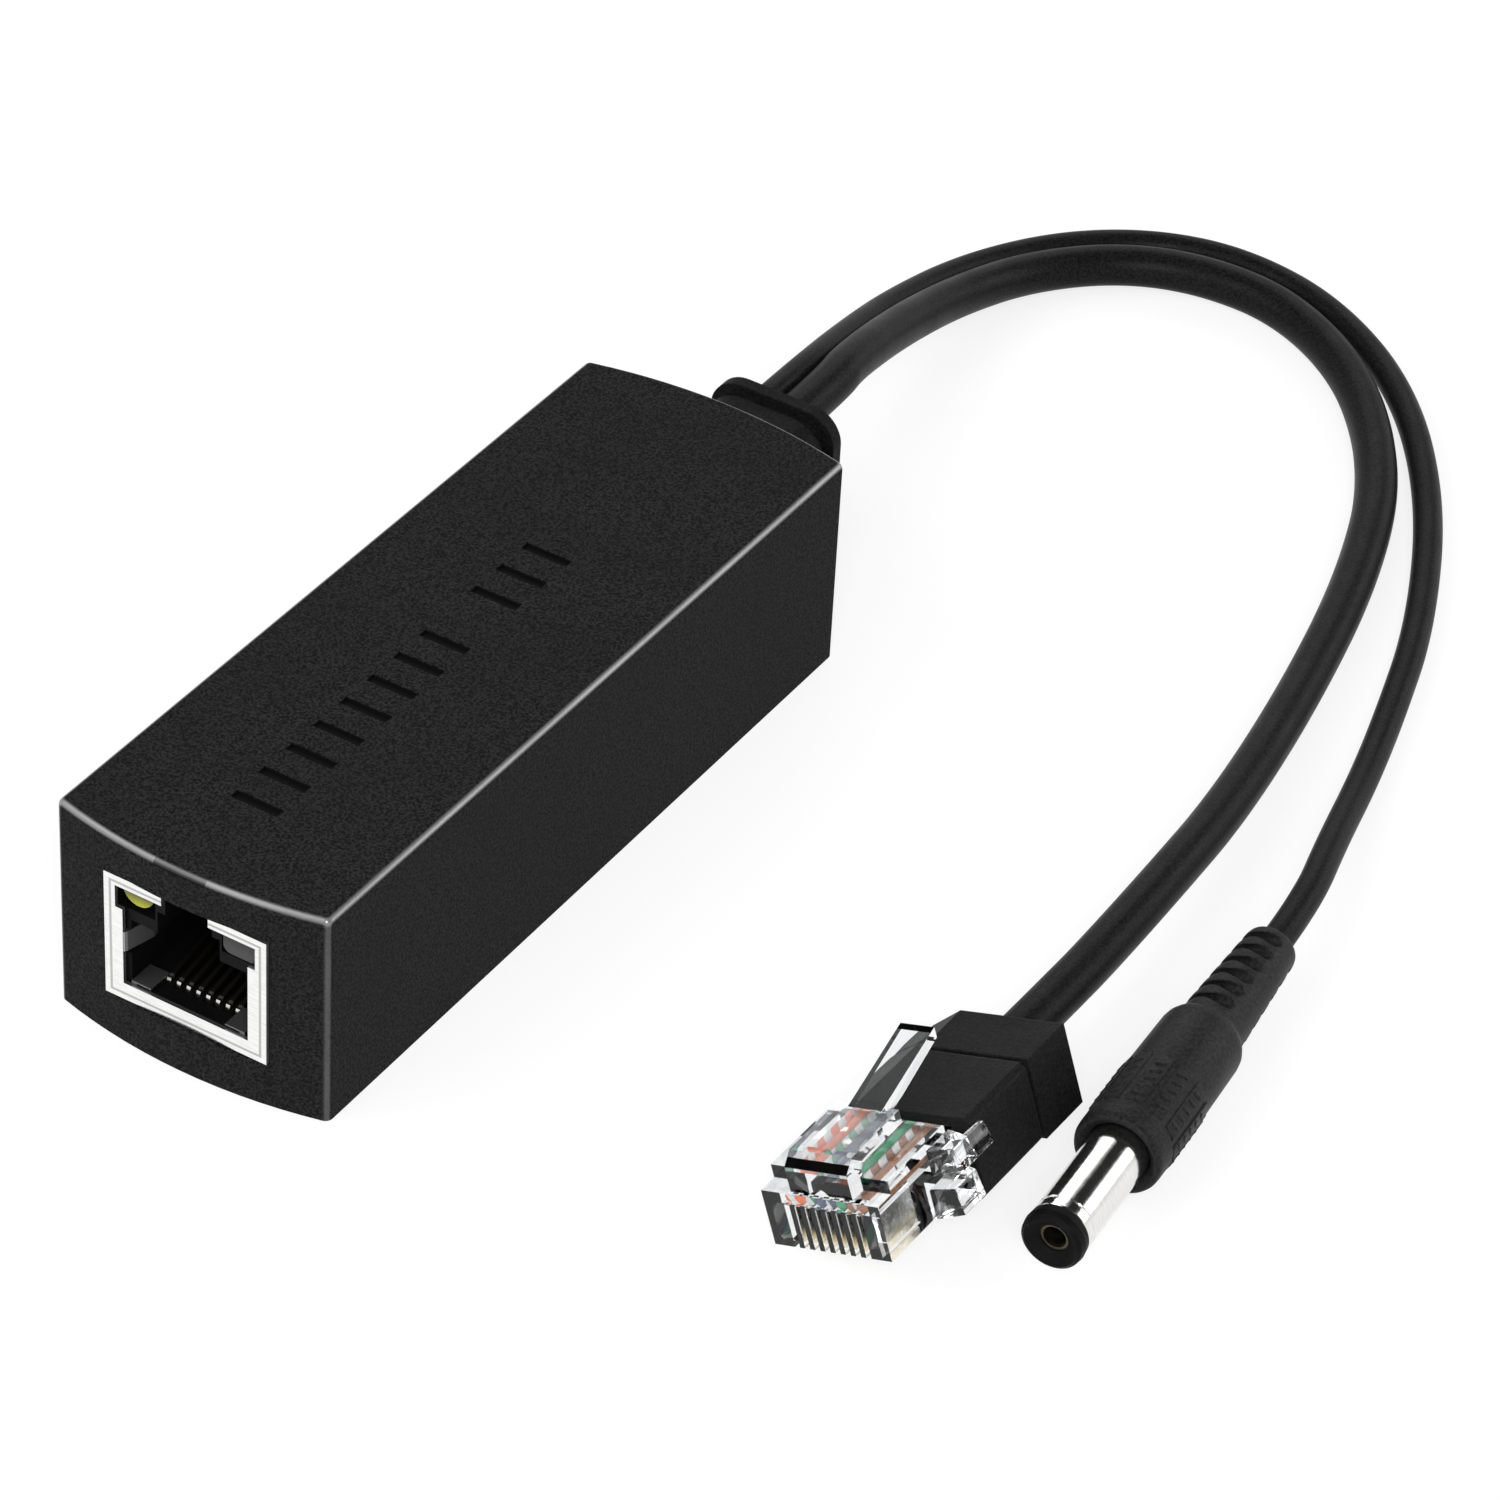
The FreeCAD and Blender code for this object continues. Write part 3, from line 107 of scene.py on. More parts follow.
class Shader:
    """A Principled material with short ways to add and join nodes."""

    def __init__(self, name, colour, roughness, metallic=0.0, specular=0.5, **sockets):
        self.material = bpy.data.materials.new(name)
        self.material.use_nodes = True
        self.tree = self.material.node_tree
        self.shader = self.tree.nodes["Principled BSDF"]
        self.set("Base Color", (*colour, 1.0))
        self.set("Roughness", roughness)
        self.set("Metallic", metallic)
        self.set("Specular IOR Level", specular)
        for socket, value in sockets.items():
            self.set(socket.replace("_", " "), value)

    def set(self, socket, value):
        self.shader.inputs[socket].default_value = value

    def node(self, kind, **values):
        made = self.tree.nodes.new("ShaderNode" + kind)
        for key, value in values.items():
            if key in made.inputs:
                made.inputs[key].default_value = value
            else:
                setattr(made, key, value)
        return made

    def join(self, start, end):
        self.tree.links.new(start, end)

    def place(self):
        return self.node("TexCoord").outputs["Object"]

    def noise(self, scale, detail=3.0, stretch=None):
        """Noise in the object's own metres; scale is in features a metre."""
        made = self.node("TexNoise", Scale=scale, Detail=detail)
        source = self.place()
        if stretch:
            mapping = self.node("Mapping")
            mapping.inputs["Scale"].default_value = stretch
            self.join(source, mapping.inputs["Vector"])
            source = mapping.outputs["Vector"]
        self.join(source, made.inputs["Vector"])
        return made.outputs["Fac"]

    def ramp(self, source, low, high, start=0.3, end=0.7):
        """A number from low to high as source goes from start to end."""
        made = self.node("MapRange")
        for socket, value in zip(("From Min", "From Max", "To Min", "To Max"), (start, end, low, high)):
            made.inputs[socket].default_value = value
        self.join(source, made.inputs["Value"])
        return made.outputs["Result"]

    def blend(self, share, first, second):
        """A colour from first to second; each is a colour or an output."""
        made = self.node("Mix", data_type="RGBA")
        sockets = [s for s in made.inputs if s.type == "RGBA"]
        for socket, value in zip(sockets, (first, second)):
            if isinstance(value, bpy.types.NodeSocket):
                self.join(value, socket)
            else:
                socket.default_value = (*value, 1.0)
        self.join(share, made.inputs[0])
        return [s for s in made.outputs if s.type == "RGBA"][0]

    def colour(self, output):
        self.join(output, self.shader.inputs["Base Color"])

    def roughness(self, output):
        self.join(output, self.shader.inputs["Roughness"])

    def math(self, operation, first, second=None):
        made = self.node("Math", operation=operation)
        for socket, value in zip(made.inputs, (first, second)):
            if isinstance(value, bpy.types.NodeSocket):
                self.join(value, socket)
            elif value is not None:
                socket.default_value = value
        return made.outputs["Value"]

    def split(self, vector):
        made = self.node("SeparateXYZ")
        self.join(vector, made.inputs["Vector"])
        return made.outputs["X"], made.outputs["Y"], made.outputs["Z"]

    def edge_mask(self, start, end):
        """1 on the rounded edges of a piece that is square to the axes, 0 on its flat sides."""
        normal = self.node("NewGeometry").outputs["Normal"]
        sides = [self.math("ABSOLUTE", part) for part in self.split(normal)]
        facing = self.math("MAXIMUM", self.math("MAXIMUM", sides[0], sides[1]), sides[2])
        return self.ramp(self.math("SUBTRACT", 1.0, facing), 0.0, 1.0, start, end)

    def bar_mask(self):
        """1 inside the engraved bars along the middle of the housing's top."""
        across, _, up = self.split(self.place())
        sunk = self.ramp(up, 1.0, 0.0, BAR_FLOOR + 0.0001, BAR_FLOOR + 0.00028)
        high = self.ramp(up, 0.0, 1.0, BAR_FLOOR - 0.0004, BAR_FLOOR - 0.0003)
        end = BAR_HALF_LENGTH
        middle = self.ramp(self.math("ABSOLUTE", across), 1.0, 0.0, end, end + 0.0001)
        return self.math("MULTIPLY", self.math("MULTIPLY", sunk, high), middle)

    def bump(self, height, distance, round_edges=0.0):
        """Relief of this depth in metres; round_edges softens the mesh's edges to that radius."""
        made = self.node("Bump", Strength=1.0, Distance=distance)
        self.join(height, made.inputs["Height"])
        if round_edges:
            soft = self.node("Bevel", Radius=round_edges)
            soft.samples = 6
            self.join(soft.outputs["Normal"], made.inputs["Normal"])
        self.join(made.outputs["Normal"], self.shader.inputs["Normal"])


def moulded(name, colour, roughness, specular, grain, depth, spread=0.25, round_edges=0.0):
    """Moulded plastic: a spark-eroded grain, a little uneven in tone and gloss."""
    made = Shader(name, colour, roughness, specular=specular)
    fine = made.noise(grain, detail=2.0)
    broad = made.noise(140.0, detail=4.0)
    dark = tuple(c * (1 - spread) for c in colour)
    pale = tuple(c * (1 + spread) for c in colour)
    made.colour(made.blend(made.ramp(fine, 0.0, 1.0), dark, pale))
    made.roughness(made.ramp(broad, roughness - 0.06, roughness + 0.06))
    made.bump(fine, depth, round_edges=round_edges)
    return made


def housing_plastic():
    """The housing's spark-eroded black plastic: rubbed glossy on its edges, pale there with wear that is
    also a painted highlight, strongest on upward-facing edges; darker in the bars.
    """
    made = Shader(
        "housing_plastic", (0.010, 0.010, 0.0105), 0.8, specular=0.12,
        Coat_Roughness=0.24, Coat_IOR=1.9,
    )
    fine = made.noise(4300.0, detail=3.0)
    broad = made.noise(120.0, detail=4.0)
    grain = made.ramp(fine, 0.0, 1.0, 0.38, 0.62)
    grained = made.blend(grain, (0.0005, 0.0005, 0.0005), (0.0250, 0.0250, 0.0256))
    grained = made.blend(made.ramp(broad, 0.0, 0.3), grained, (0.0075, 0.0075, 0.0080))
    edge = made.edge_mask(0.04, 0.17)
    # Pale colour on the rounded edges, patchy with the broad noise: partly wear, partly a painted
    # highlight, made strongest where the edges face up.
    patchy_edge_wear_and_highlight = made.math("MULTIPLY", edge, made.ramp(broad, 0.75, 1.0))
    _, _, upward = made.split(made.node("NewGeometry").outputs["Normal"])
    edge_wear_gloss_and_highlight = made.math("MULTIPLY", patchy_edge_wear_and_highlight, made.ramp(upward, 0.30, 1.0, 0.0, 0.35))
    worn_with_painted_highlight = made.blend(edge_wear_gloss_and_highlight, grained, (0.21, 0.21, 0.212))
    made.colour(made.blend(made.bar_mask(), worn_with_painted_highlight, (0.0022, 0.0022, 0.0024)))
    made.roughness(made.ramp(edge, 0.80, 0.45, 0.0, 1.0))
    made.join(edge_wear_gloss_and_highlight, made.shader.inputs["Coat Weight"])
    made.bump(fine, 0.00004)
    return made


def rubbery(name, colour=(0.0085, 0.0085, 0.0088), roughness=0.6, specular=0.07):
    """Soft moulded PVC."""
    return moulded(name, colour, roughness, specular, 3600.0, 0.00002, spread=0.6, round_edges=0.00025)


def jacket(name):
    """The leads' smooth black jacket, with a fine grain and a soft gloss."""
    made = Shader(name, (0.010, 0.010, 0.0102), 0.42, specular=0.08)
    broad = made.noise(260.0, detail=4.0)
    fine = made.noise(4200.0, detail=2.0)
    grain = made.ramp(fine, 0.0, 1.0, 0.38, 0.62)
    made.colour(made.blend(grain, (0.004, 0.004, 0.0041), (0.014, 0.014, 0.0143)))
    made.roughness(made.ramp(broad, 0.38, 0.46))
    made.bump(fine, 0.00001)
    return made


def metal(name, colour, roughness, stretch=(1, 1, 1)):
    """Bare or plated metal with fine rolling or turning marks."""
    made = Shader(name, colour, roughness, metallic=1.0)
    marks = made.noise(900.0, detail=5.0, stretch=stretch)
    low = tuple(c * 0.86 for c in colour)
    made.colour(made.blend(made.ramp(marks, 0.0, 1.0), low, colour))
    made.roughness(made.ramp(marks, roughness * 0.75, roughness * 1.3))
    made.bump(marks, 0.000004)
    return made


def shield_sheet():
    """The socket's tinned sheet: bright face with a grey line of painted shade round it where a pressed
    line would be, and painted shade darkening the duller, rougher sheet behind the face.
    """
    made = Shader("tinned_sheet", (0.95, 0.95, 0.94), 0.24, metallic=1.0)
    across, back, up = made.split(made.place())
    marks = made.noise(900.0, detail=4.0, stretch=(1.0, 1.0, 6.0))
    face = made.blend(made.ramp(marks, 0.0, 1.0), (0.84, 0.84, 0.84), (0.96, 0.96, 0.95))
    off_x = made.math("ABSOLUTE", made.math("SUBTRACT", across, LINE_CENTRE_X))
    off_z = made.math("ABSOLUTE", made.math("SUBTRACT", up, LINE_CENTRE_Z))
    sides = made.math("SUBTRACT", off_x, LINE_HALF_WIDTH)
    ends = made.math("SUBTRACT", off_z, LINE_HALF_HEIGHT)
    ring = made.math("ABSOLUTE", made.math("MAXIMUM", sides, ends))
    # A grey line painted round the face: painted shade standing in for a pressed line.
    painted_line_shade = made.ramp(ring, 1.0, 0.0, 0.00008, 0.00016)
    face = made.blend(painted_line_shade, face, (0.50, 0.50, 0.50))
    # Painted shade: the sheet is dark behind the face, where it is also rougher.
    painted_shade_behind = made.ramp(back, 0.0, 1.0, SHIELD_FACE_BACK, SHIELD_FACE_BACK + 0.00012)
    made.colour(made.blend(painted_shade_behind, face, (0.20, 0.20, 0.205)))
    made.roughness(made.ramp(painted_shade_behind, 0.22, 0.55, 0.0, 1.0))
    made.bump(marks, 0.000002)
    return made


def contact_wire():
    """Spring wire of the socket: plated bright at its front bend, with painted shade making it dark and
    rougher behind the bend.
    """
    made = Shader("contact_wire", (0.92, 0.90, 0.84), 0.2, metallic=1.0)
    _, back, _ = made.split(made.place())
    marks = made.noise(1500.0, detail=2.0)
    bright = made.blend(made.ramp(marks, 0.0, 1.0), (0.82, 0.78, 0.68), (0.97, 0.95, 0.90))
    # Painted shade: the wire turns dark behind its front bend, inside the socket's cavity.
    painted_shade_behind = made.ramp(back, 0.0, 1.0, CONTACT_BEND_BACK, CONTACT_BEND_BACK + 0.0004)
    made.colour(made.blend(painted_shade_behind, bright, (0.020, 0.018, 0.015)))
    made.roughness(made.ramp(painted_shade_behind, 0.18, 0.6, 0.0, 1.0))
    made.bump(marks, 0.000003)
    return made


def blade_metal():
    """The plug's blades: pale gold along the contact edge, nickel above it."""
    made = Shader("blade_metal", (0.94, 0.85, 0.66), 0.22, metallic=1.0)
    axis = PLUG_PLACE.to_3x3() @ Vector((0, 0, 1))
    height = made.node("VectorMath", operation="DOT_PRODUCT")
    made.join(made.place(), height.inputs[0])
    height.inputs[1].default_value = axis
    start = PLUG_PLACE.translation.dot(axis) * MM
    marks = made.noise(1800.0, detail=3.0)
    gold = made.blend(made.ramp(marks, 0.0, 1.0), (0.90, 0.78, 0.55), (0.97, 0.92, 0.80))
    low, high = start + BLADE_GOLD_TOP, start + BLADE_NICKEL_FROM
    upper = made.ramp(height.outputs["Value"], 0.0, 1.0, low, high)
    made.colour(made.blend(upper, gold, (0.88, 0.87, 0.84)))
    made.roughness(made.ramp(marks, 0.18, 0.30))
    made.bump(marks, 0.000003)
    return made


def clear_plastic():
    """The network plug's clear polycarbonate, with faint flow waves."""
    made = Shader(
        "clear_polycarbonate", (0.96, 0.97, 0.98), 0.04, specular=0.5,
        Transmission_Weight=1.0, IOR=1.46,
    )
    flow = made.noise(260.0, detail=2.0, stretch=(1.0, 0.35, 1.0))
    made.roughness(made.ramp(flow, 0.0, 0.05))
    made.bump(flow, 0.00004)
    return made


def lamp_plastic(name, colour, glow, glow_strength):
    """A lamp's tinted lens, with painted shade making it deeper in tone towards its flat top."""
    made = Shader(
        name, colour, 0.25, specular=0.5,
        Emission_Color=(*glow, 1.0), Emission_Strength=glow_strength,
    )
    cloud = made.noise(700.0, detail=2.0)
    _, _, up = made.split(made.place())
    deep_tone_and_top_shade = tuple(c * 0.22 for c in colour)
    # Painted shade: the lens deepens in tone towards its flat top; the cloud below darkens it in random
    # patches.
    body = made.blend(made.ramp(up, 0.0, 1.0, LAMP_TOP_SHADE_FROM, LAMP_TOP_SHADE_TO), colour, deep_tone_and_top_shade)
    made.colour(made.blend(made.ramp(cloud, 0.0, 0.4), body, deep_tone_and_top_shade))
    made.bump(cloud, 0.00002)
    return made


def core_plastic(name, colour):
    """One-coloured insulation, a little uneven in tone."""
    made = Shader(name, colour, 0.35, specular=0.5)
    tone = made.noise(900.0, detail=2.0)
    pale = tuple(min(1.0, c * 1.25 + 0.01) for c in colour)
    made.colour(made.blend(made.ramp(tone, 0.0, 1.0), colour, pale))
    made.bump(tone, 0.00001)
    return made


def dress(node, shader):
    """Gives a CAD node its material."""
    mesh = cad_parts[node].data
    mesh.materials.clear()
    mesh.materials.append(shader.material)


def dress_all(clear):
    """Every CAD node's material; clear is the network plug's."""
    housing = housing_plastic()
    soft = rubbery("moulded_pvc")
    black = moulded("black_nylon", (0.0035, 0.0035, 0.0036), 0.55, 0.08, 2400.0, 0.00001)
    package = moulded("epoxy_package", (0.02, 0.02, 0.021), 0.55, 0.4, 3000.0, 0.00001)
    plated = metal("nickel_plate", (0.84, 0.83, 0.81), 0.12, stretch=(1.0, 12.0, 1.0))
    ferrite = moulded("sintered_ferrite", (0.035, 0.035, 0.038), 0.7, 0.4, 1800.0, 0.00003)
    dressed = {
        housing: ("top_shell", "bottom_cover"),
        soft: ("cable_grommet",),
        rubbery("boot_pvc", (0.0092, 0.0092, 0.0095), 0.5, 0.10): ("plug_boot",),
        black: ("jack_insert", "dc_tip_insulator"),
        package: (
            "network_transformer", "rectifier_front", "rectifier_rear", "power_controller",
            "transformer_base", "output_diode",
        ),
        shield_sheet(): ("jack_shield",),
        contact_wire(): ("jack_contacts",),
        blade_metal(): ("plug_contacts",),
        plated: ("dc_barrel",),
        metal("spring_bronze", (0.10, 0.085, 0.06), 0.45): ("dc_centre_contact",),
        ferrite: ("transformer_core", "output_inductor"),
        metal("capacitor_can", (0.75, 0.75, 0.76), 0.35): ("input_capacitor", "output_capacitor"),
        moulded("solder_mask", (0.015, 0.12, 0.05), 0.35, 0.5, 900.0, 0.00001): ("circuit_board",),
        moulded("winding_tape", (0.60, 0.45, 0.08), 0.4, 0.5, 900.0, 0.00002): ("transformer_winding",),
        moulded("chip_ceramic", (0.40, 0.30, 0.20), 0.5, 0.5, 1500.0, 0.00001): ("chip_parts",),
        core_plastic("inner_wire_red", (0.45, 0.04, 0.03)): ("power_wires",),
        core_plastic("inner_wire_white", (0.55, 0.55, 0.52)): ("network_wires",),
        clear: ("plug_body",),
        lamp_plastic("lamp_yellow_green", (0.50, 0.50, 0.02), (0.50, 0.48, 0.02), 0.05): ("lamp_left",),
        lamp_plastic("lamp_smoked", (0.035, 0.035, 0.035), (0.0, 0.0, 0.0), 0.0): ("lamp_right",),
    }
    for shader, names in dressed.items():
        for name in names:
            dress(name, shader)


# Making of meshes and round curves

def mesh_of(shape, name):
    """The bmesh as a mesh of this name."""
    mesh = bpy.data.meshes.new(name)
    shape.to_mesh(mesh)
    shape.free()
    return mesh


def new_object(name, data):
    made = bpy.data.objects.new(name, data)
    bpy.context.scene.collection.objects.link(made)
    return made


def round_curve(name, points, radius, sides, steps):
    """A smooth round rod along a spline; the points are in metres, the radius in millimetres."""
    data = bpy.data.curves.new(name, "CURVE")
    data.dimensions = "3D"
    data.bevel_depth = radius * MM
    data.bevel_resolution = sides
    data.resolution_u = steps
    data.use_fill_caps = True
    spline = data.splines.new("NURBS")
    spline.points.add(len(points) - 1)
    for point, place in zip(spline.points, points):
        point.co = (*place, 1.0)
    spline.order_u = 3
    spline.use_endpoint_u = True
    return new_object(name, data)


# Cores of the network plug

CORE_RADIUS = 0.48
CORE_PITCH = 1.02
BUNDLE_PITCH = 0.95
BUNDLE_X = 0.65
BUNDLE_Z = 2.775
CORE_Z = 4.45
ORANGE = (0.85, 0.13, 0.02)
GREEN = (0.0, 0.30, 0.12)
BLUE = (0.02, 0.05, 0.13)
BROWN = (0.28, 0.09, 0.02)
CORES = (
    ("white_orange", ORANGE, True), ("orange", ORANGE, False), ("white_green", GREEN, True),
    ("blue", BLUE, False), ("white_blue", BLUE, True), ("green", GREEN, False),
    ("white_brown", BROWN, True), ("brown", BROWN, False),
)


def striped_plastic(name, colour):
    """White insulation with one coloured stripe wound loosely round it."""
    made = Shader(name, (0.78, 0.78, 0.76), 0.3, specular=0.5)
    wave = made.node("TexWave", wave_type="BANDS", bands_direction="DIAGONAL", Scale=300.0, Distortion=1.5)
    made.join(made.place(), wave.inputs["Vector"])
    stripe = made.ramp(wave.outputs["Fac"], 0.0, 1.0, 0.44, 0.52)
    made.colour(made.blend(stripe, (0.80, 0.80, 0.78), colour))
    made.bump(made.noise(900.0, detail=2.0), 0.00001)
    return made


def core_points(slot):
    """The route of part.py's core in the same slot, in the plug's own millimetres."""
    across = (slot - 3.5) * CORE_PITCH
    end_x = BUNDLE_X + (slot // 2 - 1.5) * BUNDLE_PITCH
    end_z = BUNDLE_Z + (slot % 2 - 0.5) * BUNDLE_PITCH
    return (
        (across, 1.1, CORE_Z), (across, 7.0, CORE_Z), (across, 13.1, CORE_Z), (across * 0.94, 15.3, end_z),
        (end_x, 19.4, end_z), (end_x, 21.0, end_z),
    )


def add_cores():
    """The eight insulated cores as smooth curves; returns the pieces."""
    pieces = []
    for slot, (colour_name, colour, striped) in enumerate(CORES):
        name = "core_" + colour_name
        points = [PLUG_PLACE @ Vector(place) * MM for place in core_points(slot)]
        made = round_curve(name + "_insulation", points, CORE_RADIUS, 5, 8)
        shader = striped_plastic(name, colour) if striped else core_plastic(name, colour)
        made.data.materials.append(shader.material)
        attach(made, "root")
        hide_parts(name)
        pieces.append(made)
    return pieces


# Clear guards on the network plug's right side, over the front of its boot

UPPER_GUARD = ((5.75, 7.6), (8.05, 9.2), (8.05, 13.9), (7.66, 13.5), (7.66, 11.45), (5.75, 11.1))
LOWER_GUARD = ((5.75, 6.8), (7.95, 8.0), (7.95, 11.3), (5.75, 11.3))
GUARDS = (
    # plan corners (across, back), low edge, high edge, how far the high edge's outer corners shift back
    (UPPER_GUARD, 3.3, 5.9, -0.9),
    (LOWER_GUARD, -0.3, 2.6, -0.6),
)
GUARD_OUTER_FROM = 6.5
GUARD_EDGE = 0.12


def add_guards(finish):
    """Two clear wedges moulded on the plug's flank, over the front edge of the boot."""
    shape = bmesh.new()
    for plan, low, high, lean in GUARDS:
        rows = []
        for z, shift in ((low, 0.0), (high, lean)):
            rows.append([shape.verts.new((x, y + shift * (x > GUARD_OUTER_FROM), z)) for x, y in plan])
        count = len(plan)
        faces = [shape.faces.new(rows[0][::-1]), shape.faces.new(rows[1])]
        for i in range(count):
            j = (i + 1) % count
            faces.append(shape.faces.new((rows[0][i], rows[0][j], rows[1][j], rows[1][i])))
        edges = {edge for face in faces for edge in face.edges}
        bmesh.ops.bevel(shape, geom=list(edges), offset=GUARD_EDGE, segments=2, affect="EDGES", profile=0.5)
    bmesh.ops.recalc_face_normals(shape, faces=shape.faces)
    made = new_object("plug_guards", mesh_of(shape, "plug_guards"))
    made.data.transform(TO_METRES @ PLUG_PLACE)
    made.data.materials.append(finish.material)
    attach(made, "root")
    return made


# Grip of the barrel plug

GRIP_PROFILE = (
    # radius, distance from the tip
    (0.0, 16.0), (2.80, 16.0), (2.80, 13.6), (2.95, 13.1), (3.30, 12.85), (3.50, 12.62), (3.72, 12.58),
    (3.92, 12.70), (4.02, 12.95), (4.05, 13.4), (4.05, 15.0), (4.00, 22.0), (3.88, 28.9), (3.80, 29.5),
    (3.62, 29.95), (3.35, 30.2), (3.16, 30.45), (3.10, 30.9), (2.74, 38.0), (2.46, 43.4), (2.38, 43.8),
    (2.15, 44.1), (1.50, 44.15), (0.0, 44.15),
)
GRIP_SIDES = 96
NOTCH_ROWS = 6
NOTCH_FIRST = 32.1
NOTCH_PITCH = 2.05
NOTCH_RADIUS = 0.72
NOTCH_TURN = math.radians(-26)
RELIEF_FRONT = 30.4
RELIEF_LENGTH = 14.8
PAD_COUNT = 12
PAD_MIDDLE = 18.5
PAD_SIZE = (1.55, 6.6, 0.58)
RIDGE_COUNT = 5
RIDGE_FIRST = 16.3
RIDGE_PITCH = 1.1
RIDGE_SIZE = (1.0, 0.34, 0.22)
RIDGE_SLANT = math.radians(24)
SMOOTH_ANGLE = math.radians(38)


def turned_mesh(name, profile, sides):
    """A closed mesh turned about its Y axis; the profile starts and ends on that axis."""
    shape = bmesh.new()
    rings = []
    angles = [2 * math.pi * i / sides for i in range(sides)]
    for radius, y in profile[1:-1]:
        rings.append([shape.verts.new((radius * math.cos(a), y, radius * math.sin(a))) for a in angles])
    first = shape.verts.new((0, profile[0][1], 0))
    last = shape.verts.new((0, profile[-1][1], 0))
    for i in range(sides):
        j = (i + 1) % sides
        shape.faces.new((first, rings[0][i], rings[0][j]))
        shape.faces.new((last, rings[-1][j], rings[-1][i]))
        for near, far in zip(rings, rings[1:]):
            shape.faces.new((near[i], far[i], far[j], near[j]))
    bmesh.ops.recalc_face_normals(shape, faces=shape.faces)
    return mesh_of(shape, name)


def notch_cutters():
    """Two rows of round bars across the strain relief, one on each of two opposite sides."""
    shape = bmesh.new()
    turn = Matrix.Rotation(NOTCH_TURN, 4, "Y")
    for index in range(NOTCH_ROWS):
        y = NOTCH_FIRST + NOTCH_PITCH * index
        reach = 2.45 - 0.7 * (y - RELIEF_FRONT) / RELIEF_LENGTH
        for side in (-1, 1):
            place = turn @ Matrix.Translation((0, y, side * reach)) @ Matrix.Rotation(math.pi / 2, 4, "Y")
            bmesh.ops.create_cone(
                shape, cap_ends=True, segments=28, radius1=NOTCH_RADIUS, radius2=NOTCH_RADIUS,
                depth=12.0, matrix=place,
            )
    return mesh_of(shape, "notch_cutters")


def soft_bar(shape, place, size, bevel):
    """A small block with rounded edges, added to the shape."""
    made = bmesh.ops.create_cube(shape, size=1.0, matrix=place @ Matrix.Diagonal((*size, 1.0)))
    edges = {edge for vert in made["verts"] for edge in vert.link_edges}
    bmesh.ops.bevel(shape, geom=list(edges), offset=bevel, segments=2, affect="EDGES", profile=0.6)


def grip_ridges():
    """Finger pads round the grip: a low plate with five slanted ridges on each."""
    shape = bmesh.new()
    slant = Matrix.Rotation(RIDGE_SLANT, 4, "Z")
    for index in range(PAD_COUNT):
        turn = Matrix.Rotation(2 * math.pi * index / PAD_COUNT, 4, "Y")
        soft_bar(shape, turn @ Matrix.Translation((0, PAD_MIDDLE, 3.80)), PAD_SIZE, 0.06)
        for row in range(RIDGE_COUNT):
            place = turn @ Matrix.Translation((0, RIDGE_FIRST + RIDGE_PITCH * row, 4.07)) @ slant
            soft_bar(shape, place, RIDGE_SIZE, 0.08)
    return mesh_of(shape, "grip_ridges")


def add_grip():
    """The grip with its rounded rim, notched strain relief and ridged pads; returns its pieces."""
    body = new_object("power_grip", turned_mesh("power_grip", GRIP_PROFILE, GRIP_SIDES))
    cutter = new_object("notch_cutters", notch_cutters())
    carve = body.modifiers.new("notches", "BOOLEAN")
    carve.operation = "DIFFERENCE"
    carve.solver = "EXACT"
    carve.object = cutter
    carved = bpy.data.meshes.new_from_object(body.evaluated_get(bpy.context.evaluated_depsgraph_get()))
    body.modifiers.clear()
    bpy.data.objects.remove(cutter)
    body.data = carved
    pads = new_object("power_grip_pads", grip_ridges())
    finish = rubbery("grip_pvc", (0.016, 0.016, 0.0163), 0.5, 0.12)
    for piece in (body, pads):
        piece.data.transform(TO_METRES @ BARREL_PLACE)
        piece.data.shade_smooth()
        piece.data.set_sharp_from_angle(angle=SMOOTH_ANGLE)
        piece.data.materials.clear()
        piece.data.materials.append(finish.material)
        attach(piece, "root")
        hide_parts("dc_grip")
    return [body, pads]


# Leads: routes and radii in millimetres

NETWORK_ROUTE = (
    (0.0, 52.0, 12.8), (0.0, 61.5, 12.8), (-0.9, 65.7, 12.4), (-3.0, 78.8, 8.6), (-3.9, 92.0, 4.7),
    (-1.6, 102.6, 2.8), (4.7, 110.0, 2.4), (12.7, 113.45, 2.2), (22.4, 113.1, 2.1), (33.8, 106.1, 2.1),
    (43.7, 92.6, 2.1), (49.5, 76.4, 2.1), (53.9, 56.5, 2.6), (57.2, 37.2, 4.0), (58.3, 23.0, 5.1),
    (58.72, 10.5, 5.35), (58.681, 5.0, 5.414), (58.539, -5.479, 5.568),
)
POWER_ROUTE = (
    (-3.6, 52.0, 12.8), (-3.6, 61.0, 12.8), (-5.7, 72.8, 9.6), (-7.6, 85.6, 5.9), (-6.8, 98.6, 3.4),
    (-2.1, 109.6, 2.1), (5.3, 116.4, 1.6), (14.4, 118.9, 1.5), (25.8, 116.6, 1.45), (38.2, 107.8, 1.45),
    (48.9, 93.0, 1.5), (57.3, 74.7, 1.45), (61.6, 60.0, 1.45), (64.2, 50.0, 1.8), (67.0, 38.5, 3.6),
    (69.45, 29.2, 4.4), (70.03, 21.65, 4.4),
)
NETWORK_RADIUS = 2.075
POWER_RADIUS = 1.425


def lead(name, route, radius, node):
    """A lead as one smooth spline from the grommet into its plug."""
    points = [[c * MM for c in place] for place in route]
    made = round_curve(name, points, radius, 10, 16)
    made.data.materials.append(jacket(name + "_jacket").material)
    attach(made, "root")
    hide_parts(node)


